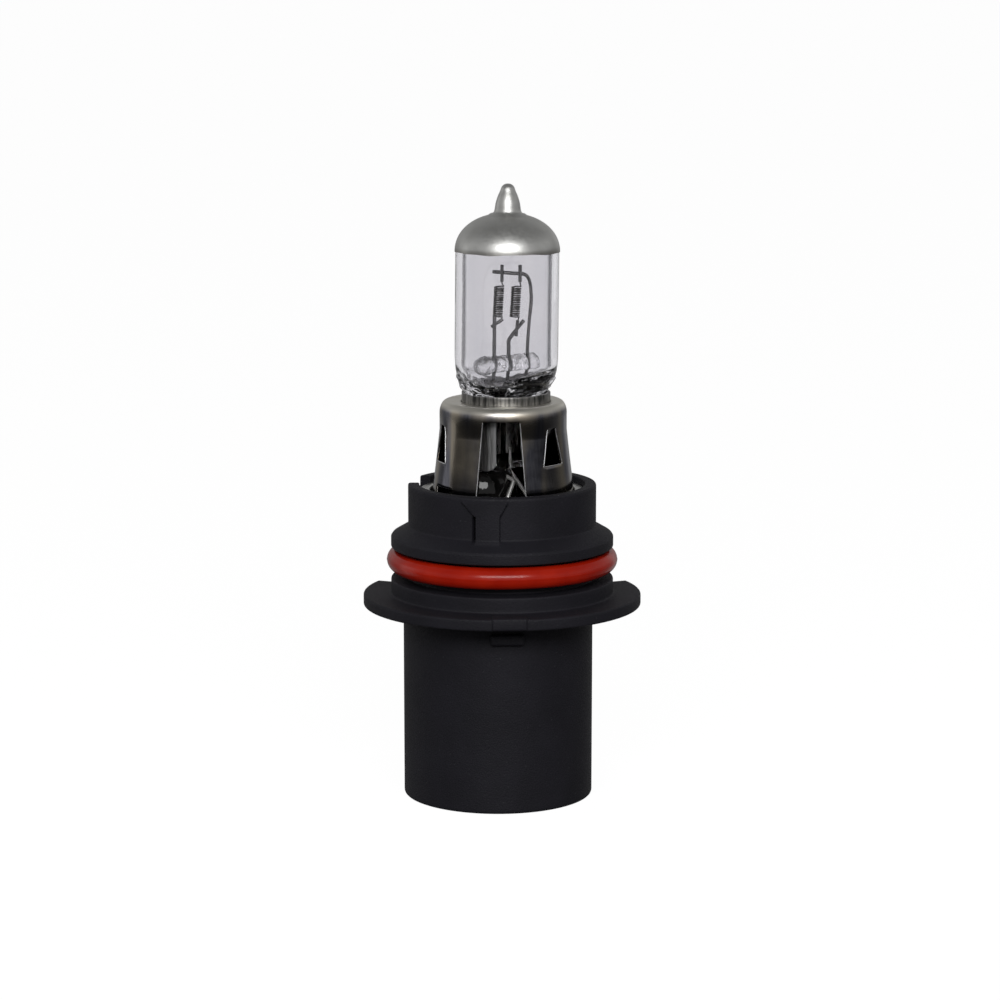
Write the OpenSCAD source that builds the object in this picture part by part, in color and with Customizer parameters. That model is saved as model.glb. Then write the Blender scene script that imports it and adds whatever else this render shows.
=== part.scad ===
// Three-terminal, two-filament halogen headlight bulb.
// The origin is on the base's axis at the flange's upper face. +Z points to the glass tip.
// -Y is the front: the large window of the retainer sleeve faces that way.

/* [Glass envelope] */
// Outer diameter of the quartz tube
glass_d = 15; // [14:0.1:15.6]
// Wall of the quartz tube
glass_wall = 1; // [0.8:0.1:1.3]
// Height where the tube turns into the dome
dome_z = 50; // [48:0.5:52]
// Height of the dome above that line
dome_h = 5.5; // [5:0.1:6]
// Height of the tipped-off nipple's end
tip_z = 59.7; // [58.5:0.1:61]
// Diameter of the nipple where it leaves the dome
tip_base_d = 3.8; // [3.4:0.1:4.4]
// Diameter of the nipple's round end
tip_end_d = 1.9; // [1.5:0.1:2.2]
// Thickness of the silver coating on dome and nipple
coating_t = 0.12; // [0.08:0.02:0.2]

/* [Burner placement] */
// Sideways shift of the focused burner from the base's axis
burner_shift = 0.55; // [0:0.05:0.7]
// Lean of the burner towards +X, in degrees
burner_lean = 0.5; // [0:0.1:0.8]
// Turn of the pinch seal about the axis, in degrees
pinch_turn = 36; // [20:1:50]

/* [Pinch seal and leads] */
// Width of the pinch seal
pinch_w = 11.8; // [10.5:0.1:12]
// Thickness of the pinch seal
pinch_t = 3.8; // [3.2:0.1:4.2]
// Lower end of the pinch seal
pinch_bottom_z = 18.6; // [18:0.1:19.5]
// Diameter of the lead posts in the glass
post_d = 0.54; // [0.4:0.02:0.7]
// Diameter of the outer leads
lead_d = 0.6; // [0.4:0.05:0.7]
// Width of the sealing foils
foil_w = 1.6; // [1.2:0.1:1.9]
// Diameter of the glass bridge
bridge_d = 2.8; // [2.2:0.1:3]
// Length of the glass bridge
bridge_l = 11.3; // [9.5:0.1:11.6]

/* [Filaments] */
// Outer diameter of each coil
coil_d = 1.5; // [1.3:0.1:1.6]
// Diameter of the coiled wire
coil_wire_d = 0.2; // [0.16:0.02:0.24]
// Turns in each coil
coil_turns = 12; // [9:1:14]
// Outer diameter of the tubes that clamp the coil's legs
leg_tube_d = 0.5; // [0.4:0.05:0.6]

/* [Burner clip] */
// Outer diameter of the clip's collar
clip_d = 12.94; // [12.8:0.02:12.98]
// Sheet thickness of clip and sleeve
sheet_t = 0.4; // [0.3:0.05:0.5]
// Top of the clip's collar
clip_top_z = 29.6; // [29.2:0.1:30]

/* [Retainer sleeve] */
// Outer diameter of the sleeve near its top
sleeve_d = 18.5; // [18:0.1:18.8]
// Height of the sleeve's top face
sleeve_top_z = 28.35; // [28:0.05:28.8]
// Outer diameter of the sleeve at its skirt
skirt_d = 20.3; // [19.8:0.1:20.4]
// Sideways shift of the sleeve from the base's axis
sleeve_shift = 0.15; // [0:0.05:0.2]
// Turn of the front window about the axis, in degrees
front_window_turn = -1.8; // [-6:0.1:6]

/* [Base] */
// Outer diameter of the collar
collar_d = 27.44; // [26.8:0.02:27.6]
// Height of the collar's rim
collar_z = 16.2; // [15.8:0.1:17]
// Outer diameter of the two sealing lands
land_d = 32.48; // [32:0.02:33]
// Diameter of the flange
flange_d = 40.6; // [39:0.1:42]
// Thickness of the flange
flange_t = 1.7; // [1.4:0.1:2.2]

/* [Seal] */
// Outer diameter of the O-ring
ring_d = 33.75; // [33.4:0.05:34.2]
// Section diameter of the O-ring
ring_section_d = 3.25; // [2.8:0.05:3.4]
// Height of the O-ring's middle
ring_z = 4.95; // [4.8:0.05:5.1]

/* [Connector shell] */
// Outer diameter of the connector shell
shell_d = 27.66; // [27:0.02:28]
// Wall of the connector shell
shell_wall = 1.9; // [1.5:0.1:2.2]
// Height of the connector shell's open end
shell_end_z = -30.05; // [-32:0.05:-28]
// Sideways offset of the connector shell from the base's axis
shell_shift = -0.6; // [-0.8:0.1:0]
// Spacing of the terminal blades
blade_pitch = 6.5; // [6:0.1:7]

/* [Hidden] */
$fn = 96;
eps = 0.02;

// Burner, in its own upright frame before it is shifted and leaned.
lean_pivot_z = 28;
tube_r = glass_d / 2;
bore_r = tube_r - glass_wall;
dome_power = 2.13;
dome_steps = 14;
tip_end_r = tip_end_d / 2;
tip_slope_z = dome_z + dome_h + 0.25;
waist_z = 35;
neck_r = 6;
neck_z = 29;
cavity_floor_z = 30.6;

// Lead posts: places along the pinch, and the height of the bridge they pass through.
low_post = -2.15;
high_post = 0.38;
common_post = 3.85;
bridge_z = 33.7;
bridge_shift = 0.25;
pinch_h = 11.2;
foil_top_z = 27.2;
foil_bottom_z = 20.6;
foil_t = 0.1;
foil_lap = 0.8;
post_end_z = foil_top_z - foil_lap;
lead_end_z = foil_bottom_z + foil_lap;

// Filaments stand side by side: the x of each coil's axis at its top and bottom.
filament_y = -0.3;
low_x = [-1.1, -1.32];
high_x = [1.37, 1.12];
coil_top_z = 45;
coil_bottom_z = 40.6;
coil_r = (coil_d - coil_wire_d) / 2;
steps_per_turn = 12;
weld_gap = (leg_tube_d + post_d) / 2 - eps;

// Burner clip and sleeve.
clip_floor_z = 26.4;
clip_leg_z = 18.8;
clip_leg_width = 32;
sleeve_corner_w = 1;
sleeve_corner_h = 1.75;
sleeve_flare_z = 24.2;
skirt_z = 16.3;
foot_z = 12.9;

// Openings in the sleeve: heights of the lower and upper edge, and the width at each.
front_window_top_z = 26.4;
front_window_w = [7.8, 5.35];
small_window_turns = [49, 289];
small_window_z = [19.8, 25.1];
small_window_w = [4.1, 1.7];
skirt_gap_turn = -59;
skirt_gap_w = 4.2;
tab_lean = 22;
tab_l = 4.5;

// Base.
collar_r = collar_d / 2;
land_r = land_d / 2;
groove_r = ring_d / 2 - ring_section_d + eps / 4;
collar_foot_z = 10;
upper_land_top_z = 8.5;
upper_land_bottom_z = 6.9;
lower_land_z = 2.3;
web_top_z = 2;
web_bottom_z = -6;
cup_r = 11;
key_turn = 3;
pad_turn = -8.8;
pad_w = 3.38;
pad_proud = 0.4;
pad_flare_z = 13.45;
pad_flare_x = [-3.85, 2.9];
ring_seat_z = 14.2;
ring_seat_r = 12.05;
base_ring_t = 1.2;
base_ring_r = 10.5;
potting_z = 12.5;
blade_t = 0.8;
blade_w = 2.8;
blade_end_z = -20;
blade_top_z = 7;

// ---- Helpers ----

// Puts a child drawn on the burner's own axis where the burner stands in the base.
module in_burner() {
  translate([burner_shift, 0, lean_pivot_z])
    rotate([0, burner_lean, 0])
      translate([0, 0, -lean_pivot_z]) children();
}

// A place along the pinch's width, at height z.
function on_pinch(s, z) = [s * cos(pinch_turn), s * sin(pinch_turn), z];

// The same place in the base's frame.
function in_base(p) = [
  burner_shift + p[0] * cos(burner_lean) + (p[2] - lean_pivot_z) * sin(burner_lean),
  p[1],
  lean_pivot_z - p[0] * sin(burner_lean) + (p[2] - lean_pivot_z) * cos(burner_lean)
];

// A straight round bar from a to b.
module rod(a, b, d) {
  v = b - a;
  length = norm(v);
  translate(a)
    rotate([0, acos(v[2] / length), atan2(v[1], v[0])])
      rotate([0, 0, 40]) cylinder(h = length, d = d, $fn = 24);
}

// A bent wire: straight bars with a slightly proud knuckle at each bend.
module wire(points, d) {
  for (i = [0 : len(points) - 2]) rod(points[i], points[i + 1], d);
  for (i = [1 : 1 : len(points) - 2]) translate(points[i]) sphere(d = d * 1.08, $fn = 24);
}

// An arc of points about centre c in the (r, z) plane.
function arc(c, r, from, to, steps) =
  [for (i = [0 : steps]) let (a = from + (to - from) * i / steps) c + r * [cos(a), sin(a)]];

// A ring with a rectangular section.
module band(r_in, r_out, z_low, z_high) {
  rotate_extrude()
    translate([r_in, z_low]) square([r_out - r_in, z_high - z_low]);
}

// A sector of a cylinder's wall, drawn as a wedge that turns about the axis.
// Turn 0 faces the front, and a positive turn goes towards +X.
module sector(turn, width, r, z_low, z_high) {
  rotate([0, 0, turn - 90 - width / 2])
    translate([0, 0, z_low])
      rotate_extrude(angle = width) square([r, z_high - z_low]);
}

// A trapezoid that cuts radially through a sleeve's wall.
module window_cut(turn, z_low, z_high, w_low, w_high) {
  rotate([0, 0, turn])
    rotate([90, 0, 0])
      translate([0, 0, 4])
        linear_extrude(10)
          polygon([
            [-w_low / 2, z_low], [w_low / 2, z_low], [w_high / 2, z_high], [-w_high / 2, z_high]
          ]);
}

// ---- Glass ----

// The dome's rounded outline, for an outer radius r and a height h.
function dome_points(r, h, z_base, r_end) = [
  for (i = [0 : dome_steps])
    let (a = 90 * i / dome_steps, p = 2 / dome_power)
    let (x = r * pow(cos(a), p), z = z_base + h * pow(sin(a), p))
    if (x > r_end) [x, z]
];

// Outline of dome and nipple, made proud by t.
function cap_points(t) = concat(
  dome_points(tube_r + t, dome_h + t, dome_z, tip_base_d / 2 + t),
  [[tip_base_d / 2 + t, tip_slope_z + t * 0.4]],
  arc([0, tip_z - tip_end_r], tip_end_r + t, 22, 90, 5)
);

module glass_outside() {
  rotate_extrude()
    polygon(concat(
      [[0, neck_z - 0.8], [4.4, neck_z - 0.5], [neck_r, neck_z], [6.62, 29.85], [6.98, 30.7],
       [7.22, 31.6], [7.4, 33.3], [tube_r, waist_z]],
      cap_points(0)
    ));
}

module glass_cavity() {
  dome_bore_h = dome_h - glass_wall * 1.1;
  rotate_extrude()
    polygon(concat(
      [[0, cavity_floor_z - 0.6], [3.8, cavity_floor_z - 0.3], [5.5, cavity_floor_z + 0.4],
       [6.2, cavity_floor_z + 1.6], [bore_r - 0.1, cavity_floor_z + 3], [bore_r, waist_z]],
      dome_points(bore_r, dome_bore_h, dome_z, 0.4),
      [[0, dome_z + dome_bore_h]]
    ));
}

module pinch_block() {
  rotate([0, 0, pinch_turn]) {
    translate([-pinch_w / 2 + pinch_t / 2, -pinch_t / 2, pinch_bottom_z])
      cube([pinch_w - pinch_t, pinch_t, pinch_h]);
    for (side = [-1, 1])
      translate([side * (pinch_w - pinch_t) / 2, 0, pinch_bottom_z])
        cylinder(h = pinch_h, d = pinch_t);
  }
}

module post_bore(s, z_low, z_high, d) {
  translate(on_pinch(s, z_low)) cylinder(h = z_high - z_low, d = d, $fn = 24);
}

module foil_block(s) {
  rotate([0, 0, pinch_turn])
    translate([s - foil_w / 2, -foil_t / 2, foil_bottom_z])
      cube([foil_w, foil_t, foil_top_z - foil_bottom_z]);
}

module glass_envelope() {
  color([0.78, 0.77, 0.8, 0.4])
    in_burner()
      difference() {
        union() {
          glass_outside();
          pinch_block();
        }
        glass_cavity();
        for (s = [low_post, high_post, common_post]) {
          post_bore(s, post_end_z, cavity_floor_z + 1, post_d);
          post_bore(s, pinch_bottom_z - 1, lead_end_z, lead_d);
          foil_block(s);
        }
      }
}

module tip_coating() {
  skin = concat([[tube_r + coating_t, dome_z]], cap_points(coating_t));
  color([0.66, 0.66, 0.64])
    in_burner()
      difference() {
        rotate_extrude() polygon(concat([[0, dome_z]], skin));
        glass_outside();
      }
}

module glass_bridge() {
  color([0.85, 0.86, 0.88, 0.6])
    in_burner()
      difference() {
        rotate([0, 0, pinch_turn])
          translate([-bridge_l / 2 + bridge_shift, 0, bridge_z])
            rotate([0, 90, 0]) cylinder(h = bridge_l, d = bridge_d);
        for (s = [low_post, high_post, common_post])
          post_bore(s, bridge_z - bridge_d, bridge_z + bridge_d, post_d);
      }
}

// ---- Filaments ----

// Path of one coil with its two legs. axis_x holds the coil axis's x at its top and bottom.
function coil_path(axis_x, top_leg_x, legs_end) = concat(
  [[top_leg_x, filament_y, coil_top_z + 2.4], [top_leg_x, filament_y, coil_top_z + 0.5]],
  [for (i = [0 : coil_turns * steps_per_turn])
    let (t = i / (coil_turns * steps_per_turn), a = 360 * coil_turns * t)
    [
      axis_x[0] + (axis_x[1] - axis_x[0]) * t + coil_r * cos(a),
      filament_y + coil_r * sin(a),
      coil_top_z + (coil_bottom_z - coil_top_z) * t
    ]],
  legs_end
);

// Frames carried along a path, so that the swept section doesn't twist.
function unit(v) = v / norm(v);
function path_tangent(p, i) = unit(p[min(i + 1, len(p) - 1)] - p[max(i - 1, 0)]);
function square_to(v, t) = unit(v - (v * t) * t);
function carried(p, i, frames) = i == len(p) ? frames
  : carried(p, i + 1, concat(frames, [square_to(frames[i - 1], path_tangent(p, i))]));

// A round section swept along a path as one closed solid.
module sweep(path, d, sides) {
  normals = carried(path, 1, [square_to([1, 0.1, 0], path_tangent(path, 0))]);
  rings = [for (i = [0 : len(path) - 1], k = [0 : sides - 1])
    let (a = 360 * k / sides)
    path[i] + d / 2 * (cos(a) * normals[i] + sin(a) * cross(path_tangent(path, i), normals[i]))];
  count = len(path);
  walls = [for (i = [0 : count - 2], k = [0 : sides - 1])
    let (j = (k + 1) % sides)
    [i * sides + k, (i + 1) * sides + k, (i + 1) * sides + j, i * sides + j]];
  first_cap = [for (k = [0 : sides - 1]) k];
  last_cap = [for (k = [sides - 1 : -1 : 0]) (count - 1) * sides + k];
  polyhedron(points = rings, faces = concat(walls, [first_cap, last_cap]));
}

// Lower legs: the first slants to the left post, the second hangs straight.
low_tube = [[-0.62, filament_y, 40.2], [-2.15, -0.85, 39.2]];
high_tube = [[1.58, filament_y, 40.05], [1.36, filament_y, 37.85]];
low_top_tube_x = -0.75;
high_top_tube_x = 1.88;
top_tube_z = [45.7, 48.05];

module low_beam_filament() {
  legs_end = [[-0.66, filament_y, 40.3], low_tube[0] + 0.8 * (low_tube[1] - low_tube[0])];
  color([0.35, 0.34, 0.34])
    in_burner() sweep(coil_path(low_x, low_top_tube_x, legs_end), coil_wire_d, 6);
}

module high_beam_filament() {
  legs_end = [high_tube[0], high_tube[0] + 0.8 * (high_tube[1] - high_tube[0])];
  color([0.35, 0.34, 0.34])
    in_burner() sweep(coil_path(high_x, high_top_tube_x, legs_end), coil_wire_d, 6);
}

// One clamped tube with the coil's leg in its bore.
module leg_tube(a, b) {
  difference() {
    rod(a, b, leg_tube_d);
    rod(a - 0.2 * (b - a), a + 0.9 * (b - a), coil_wire_d + 0.05);
  }
}

module top_leg_tube(x) {
  leg_tube([x, filament_y, top_tube_z[0]], [x, filament_y, top_tube_z[1]]);
}

module low_beam_leg_tubes() {
  color([0.5, 0.5, 0.5])
    in_burner() {
      top_leg_tube(low_top_tube_x);
      leg_tube(low_tube[0], low_tube[1]);
    }
}

module high_beam_leg_tubes() {
  color([0.5, 0.5, 0.5])
    in_burner() {
      top_leg_tube(high_top_tube_x);
      leg_tube(high_tube[0], high_tube[1]);
    }
}

// ---- Leads ----

module low_beam_inner_lead() {
  color([0.45, 0.45, 0.45])
    in_burner() wire([on_pinch(low_post, post_end_z), on_pinch(low_post, 40.8)], post_d);
}

module high_beam_inner_lead() {
  crank = on_pinch(high_post, 37);
  weld = [2.45, filament_y + weld_gap + 0.1, 40];
  color([0.45, 0.45, 0.45])
    in_burner()
      wire([on_pinch(high_post, post_end_z), crank, crank + 0.2 * (weld - crank) + [0, 0, 0.15], weld],
           post_d);
}

module common_inner_lead() {
  bar_y = filament_y + weld_gap;
  color([0.45, 0.45, 0.45])
    in_burner()
      wire([
        on_pinch(common_post, post_end_z), on_pinch(common_post, 36), [3.6, 2.25, 42.6],
        [3.45, 1.6, 45], [3.1, 0.9, 46.1], [2.3, bar_y, 46.75], [-2.05, bar_y, 47.05]
      ], post_d);
}

// A sealing foil, cut away where the post and the outer lead are welded onto its ends.
module foil(s) {
  color([0.7, 0.7, 0.7])
    in_burner()
      difference() {
        foil_block(s);
        post_bore(s, post_end_z, foil_top_z + 1, post_d);
        post_bore(s, foil_bottom_z - 1, lead_end_z, lead_d);
      }
}

module low_beam_foil() {
  foil(low_post);
}

module high_beam_foil() {
  foil(high_post);
}

module common_foil() {
  foil(common_post);
}

// Each outer lead leaves its foil, clears the pinch and drops to the top of its terminal.
function lead_start(s) = [in_base(on_pinch(s, lead_end_z)), in_base(on_pinch(s, 18.4))];
function terminal_top(side) = [side * blade_pitch, 0, blade_top_z - 0.4];

module low_beam_outer_lead() {
  color([0.72, 0.72, 0.7])
    wire(concat(lead_start(low_post), [
      [1.7, -4.2, 17.2], [0.75, -6, 14.9], [0.4, -6.6, 11], [-5, -3, 9],
      terminal_top(-1)
    ]), lead_d);
}

module high_beam_outer_lead() {
  color([0.72, 0.72, 0.7])
    wire(concat(lead_start(high_post), [
      [3.6, -5, 15.2], [4.6, -5.2, 12], [2.5, -2.5, 9.6], terminal_top(0)
    ]), lead_d);
}

module common_outer_lead() {
  color([0.72, 0.72, 0.7])
    wire(concat(lead_start(common_post), [
      [5, 3, 13.5], [6.2, 1.5, 9.5], terminal_top(1)
    ]), lead_d);
}

// ---- Metalwork ----

// Clearance for the pinch seal through the clip's floor.
module pinch_slot() {
  rotate([0, 0, pinch_turn])
    translate([0, 0, clip_floor_z])
      cube([pinch_w + 0.5, pinch_t + 0.5, 3], center = true);
}

module burner_clip() {
  r = clip_d / 2;
  color([0.6, 0.6, 0.58])
    translate([burner_shift, 0, 0]) {
      difference() {
        union() {
          band(r - sheet_t, r, clip_floor_z, clip_top_z);
          translate([0, 0, clip_floor_z]) cylinder(h = sheet_t, r = r - sheet_t / 2);
        }
        pinch_slot();
      }
      for (turn = [-29, 151])
        intersection() {
          band(r - sheet_t, r, clip_leg_z, clip_floor_z + eps);
          sector(turn, clip_leg_width, r + 1, clip_leg_z, clip_floor_z + eps);
        }
    }
}

// The drawn corner between the sleeve's top face and its wall, taller than it is wide.
function sleeve_corner(inset) = [
  for (i = [0 : 8])
    let (a = 90 - 90 * i / 8)
    [sleeve_d / 2 - sleeve_corner_w + (sleeve_corner_w - inset) * cos(a),
     sleeve_top_z - sleeve_corner_h + (sleeve_corner_h - inset) * sin(a)]
];

// The sleeve's outline: top face, rounded corner, straight wall, then the flare to its skirt.
function sleeve_line(inset) = concat(
  sleeve_corner(inset),
  [[sleeve_d / 2 - inset, sleeve_flare_z], [skirt_d / 2 - inset, skirt_z],
   [base_ring_r - sleeve_shift - eps - inset, foot_z]]
);

// A tab punched inwards from a small window, still joined at the window's narrow upper edge.
module sleeve_tab(turn) {
  root_y = sheet_t / 4 - sleeve_d / 2;
  root_z = small_window_z[1] + sheet_t;
  half_root = small_window_w[1] / 2 - 0.05;
  half_tip = small_window_w[0] / 2 - 0.35;
  rotate([0, 0, turn])
    translate([0, root_y, root_z])
      rotate([tab_lean, 0, 0])
        rotate([90, 0, 0])
          translate([0, 0, -sheet_t])
            linear_extrude(sheet_t)
              polygon([
                [-half_tip, -tab_l], [half_tip, -tab_l], [half_root, 0], [-half_root, 0]
              ]);
}

module retainer_sleeve() {
  inner = sleeve_line(sheet_t);
  inner_path = [for (i = [len(inner) - 1 : -1 : 0]) inner[i]];
  color([0.42, 0.4, 0.37]) translate([sleeve_shift, 0, 0]) {
    difference() {
      rotate_extrude()
        polygon(concat(
          [[0, sleeve_top_z - sheet_t], [0, sleeve_top_z]], sleeve_line(0), inner_path
        ));
      translate([burner_shift - sleeve_shift, 0, sleeve_top_z - 2])
        cylinder(h = 3, d = clip_d + 2 * eps);
      window_cut(front_window_turn, foot_z - 1, front_window_top_z, front_window_w[0], front_window_w[1]);
      for (turn = small_window_turns)
        window_cut(turn, small_window_z[0], small_window_z[1], small_window_w[0], small_window_w[1]);
      window_cut(skirt_gap_turn, foot_z - 1, skirt_z, skirt_gap_w, skirt_gap_w);
    }
    for (turn = small_window_turns) sleeve_tab(turn);
  }
}

module base_ring() {
  color([0.68, 0.68, 0.66])
    band(base_ring_r, ring_seat_r - eps, ring_seat_z, ring_seat_z + base_ring_t);
}

// ---- Base ----

// Outer outline of collar, cone, sealing lands and O-ring groove.
function base_outline() = [
  [0, 0], [land_r, 0], [land_r, lower_land_z - 0.3], [land_r - 0.3, lower_land_z],
  [groove_r, lower_land_z], [groove_r, upper_land_bottom_z],
  [land_r - 0.2, upper_land_bottom_z], [land_r, upper_land_bottom_z + 0.2],
  [land_r, upper_land_top_z - 0.1], [land_r - 0.2, upper_land_top_z + 0.15],
  [collar_r, collar_foot_z], [collar_r, collar_z - 0.35], [collar_r - 0.35, collar_z],
  [0, collar_z]
];

module flange() {
  notch_r = land_r + 0.6;
  difference() {
    translate([0, 0, -flange_t])
      rotate_extrude()
        polygon([[0, 0], [flange_d / 2 - 0.3, 0], [flange_d / 2, 0.3],
                 [flange_d / 2, flange_t - 0.3], [flange_d / 2 - 0.3, flange_t], [0, flange_t]]);
    for (turn = [129, 231])
      difference() {
        sector(turn, 30, flange_d, -flange_t - 1, 1);
        translate([0, 0, -flange_t - 2]) cylinder(h = 5, r = notch_r);
      }
  }
}

// Locating block on the flange's front edge, and the lug below it on the shell.
module front_key() {
  block = [5, 3, 1.75];
  block_top_z = 0.2;
  block_proud = 0.35;
  lug = [4.8, 2, 1.6];
  lug_top_z = -3.4;
  lug_proud = 0.9;
  rotate([0, 0, key_turn]) {
    translate([-block[0] / 2, -flange_d / 2 - block_proud, block_top_z - block[2]]) cube(block);
    translate([-lug[0] / 2, -shell_d / 2 - lug_proud, lug_top_z - lug[2]]) cube(lug);
  }
}

// Raised pad on the collar's front, flared towards the rim.
module collar_pad() {
  low_z = collar_foot_z - 0.6;
  high_z = collar_z - 0.45;
  intersection() {
    rotate([0, 0, pad_turn])
      rotate([90, 0, 0])
        linear_extrude(collar_r + 2)
          polygon([
            [-pad_w / 2, low_z], [pad_w / 2, low_z], [pad_w / 2, pad_flare_z],
            [pad_flare_x[1], high_z], [pad_flare_x[0], high_z], [-pad_w / 2, pad_flare_z]
          ]);
    band(collar_r - 1, collar_r + pad_proud, low_z, high_z);
  }
}

module connector_shell() {
  edge = 0.5;
  r = shell_d / 2;
  translate([shell_shift, 0, 0])
    rotate_extrude()
      polygon([[0, shell_end_z], [r - edge, shell_end_z], [r, shell_end_z + edge],
               [r, -flange_t + eps], [0, -flange_t + eps]]);
}

module base_housing() {
  cavity_r = shell_d / 2 - shell_wall;
  color([0.12, 0.12, 0.13])
    difference() {
      union() {
        rotate_extrude() polygon(base_outline());
        flange();
        front_key();
        collar_pad();
        connector_shell();
      }
      translate([0, 0, web_top_z]) cylinder(h = 30, r = cup_r);
      translate([0, 0, ring_seat_z]) cylinder(h = 30, r = ring_seat_r);
      translate([shell_shift, 0, shell_end_z - 1])
        cylinder(h = web_bottom_z - shell_end_z + 1, r = cavity_r);
      sector(-104, 28, collar_r + 1, collar_z - 1.5, collar_z + 1);
      sector(-16.7, 2.2, collar_r + 1, collar_foot_z - 0.1, pad_flare_z - 0.1);
      for (side = [-1, 0, 1]) blade(side);
    }
}

module o_ring() {
  centre_r = (ring_d - ring_section_d) / 2;
  color([0.65, 0.14, 0.08])
    translate([0, 0, ring_z])
      rotate_extrude() translate([centre_r, 0]) circle(d = ring_section_d, $fn = 48);
}

module blade(side) {
  tip = 0.8;
  translate([side * blade_pitch - blade_t / 2, 0, 0])
    rotate([90, 0, 90])
      linear_extrude(blade_t)
        polygon([
          [-blade_w / 2, blade_top_z], [-blade_w / 2, blade_end_z + tip],
          [-blade_w / 2 + tip, blade_end_z], [blade_w / 2 - tip, blade_end_z],
          [blade_w / 2, blade_end_z + tip], [blade_w / 2, blade_top_z]
        ]);
}

module outer_leads() {
  low_beam_outer_lead();
  high_beam_outer_lead();
  common_outer_lead();
}

module terminal(side) {
  color([0.75, 0.73, 0.66])
    difference() {
      blade(side);
      outer_leads();
    }
}

module low_beam_terminal() {
  terminal(-1);
}

module high_beam_terminal() {
  terminal(0);
}

module common_terminal() {
  terminal(1);
}

// Potting that fills the cup and rises in a mound round the end of the pinch seal.
module sealing_compound() {
  mound_r = 5.6;
  mound_h = 6.9;
  power = 2 / 3.2;
  color([0.04, 0.04, 0.04])
    difference() {
      union() {
        translate([0, 0, web_top_z]) cylinder(h = potting_z - web_top_z, r = cup_r);
        translate([-3.2, -0.6, potting_z - eps])
          rotate_extrude()
            polygon(concat([[0, 0]], [for (i = [0 : 12])
              let (a = 90 * i / 12) [mound_r * pow(cos(a), power), mound_h * pow(sin(a), power)]]));
      }
      in_burner() pinch_block();
      outer_leads();
      for (side = [-1, 0, 1]) blade(side);
    }
}

glass_envelope();
tip_coating();
glass_bridge();
low_beam_filament();
high_beam_filament();
low_beam_leg_tubes();
high_beam_leg_tubes();
low_beam_inner_lead();
high_beam_inner_lead();
common_inner_lead();
low_beam_foil();
high_beam_foil();
common_foil();
low_beam_outer_lead();
high_beam_outer_lead();
common_outer_lead();
burner_clip();
retainer_sleeve();
base_ring();
base_housing();
o_ring();
sealing_compound();
low_beam_terminal();
high_beam_terminal();
common_terminal();
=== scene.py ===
"""Looks of a two-filament halogen headlight bulb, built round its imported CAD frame.

Shapes are worked out in millimetres in the CAD's frame and become metres in make_mesh().
+Z points to the glass tip, and -Y is the front.
"""

import math
import random

import bmesh
import bpy
from mathutils import Matrix, Vector, noise


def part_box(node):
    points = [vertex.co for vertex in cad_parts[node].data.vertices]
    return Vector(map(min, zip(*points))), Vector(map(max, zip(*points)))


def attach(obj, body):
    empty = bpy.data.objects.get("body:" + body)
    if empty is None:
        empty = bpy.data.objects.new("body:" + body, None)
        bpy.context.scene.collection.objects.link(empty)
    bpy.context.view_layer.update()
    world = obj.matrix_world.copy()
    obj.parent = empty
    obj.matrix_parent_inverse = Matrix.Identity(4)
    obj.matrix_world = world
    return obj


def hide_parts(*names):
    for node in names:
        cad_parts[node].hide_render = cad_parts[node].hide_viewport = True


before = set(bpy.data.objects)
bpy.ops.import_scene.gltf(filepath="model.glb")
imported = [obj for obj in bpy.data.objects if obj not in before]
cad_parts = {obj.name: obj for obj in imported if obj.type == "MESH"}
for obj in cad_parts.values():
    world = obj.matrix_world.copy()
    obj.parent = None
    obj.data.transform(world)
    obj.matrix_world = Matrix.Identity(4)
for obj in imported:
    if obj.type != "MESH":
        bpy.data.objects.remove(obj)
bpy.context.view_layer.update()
MM = 0.001


def box_mm(node):
    """Lowest and highest corners of a CAD node in millimetres."""
    low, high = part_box(node)
    return low / MM, high / MM


# ---- Camera ----

CAMERA_DISTANCE = 508
CAMERA_PITCH = math.radians(10.1)
AIM = Vector((-0.31, 0, 13.6))
LENS = 125.3


def add_camera():
    data = bpy.data.cameras.new("camera")
    data.lens = LENS
    data.sensor_width = 36
    data.clip_start = 0.01
    data.clip_end = 50
    camera = bpy.data.objects.new("camera", data)
    back = Vector((0, -math.cos(CAMERA_PITCH), math.sin(CAMERA_PITCH)))
    camera.location = (AIM + back * CAMERA_DISTANCE) * MM
    camera.rotation_euler = (-back).to_track_quat("-Z", "Y").to_euler()
    bpy.context.scene.collection.objects.link(camera)
    bpy.context.scene.camera = camera


add_camera()

# ---- Measures taken from the frame, in millimetres ----

clip_low, clip_high = box_mm("burner_clip")
coating_low, coating_high = box_mm("tip_coating")
glass_low, glass_high = box_mm("glass_envelope")
sleeve_low, sleeve_high = box_mm("retainer_sleeve")
housing_low, housing_high = box_mm("base_housing")
ring_low, ring_high = box_mm("o_ring")
base_ring_low, base_ring_high = box_mm("base_ring")
potting_low, potting_high = box_mm("sealing_compound")

LEAN_PIVOT_Z = 28
burner_x = (clip_low.x + clip_high.x) / 2
tip_x = (coating_low.x + coating_high.x) / 2
burner_lean = math.asin((tip_x - burner_x) / (coating_low.z - LEAN_PIVOT_Z))
BURNER = (
    Matrix.Translation((burner_x, 0, LEAN_PIVOT_Z))
    @ Matrix.Rotation(burner_lean, 4, "Y")
    @ Matrix.Translation((0, 0, -LEAN_PIVOT_Z))
)
PINCH_TURN = math.radians(36)
PINCH = BURNER @ Matrix.Rotation(PINCH_TURN, 4, "Z")

# ---- Shape helpers ----


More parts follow.
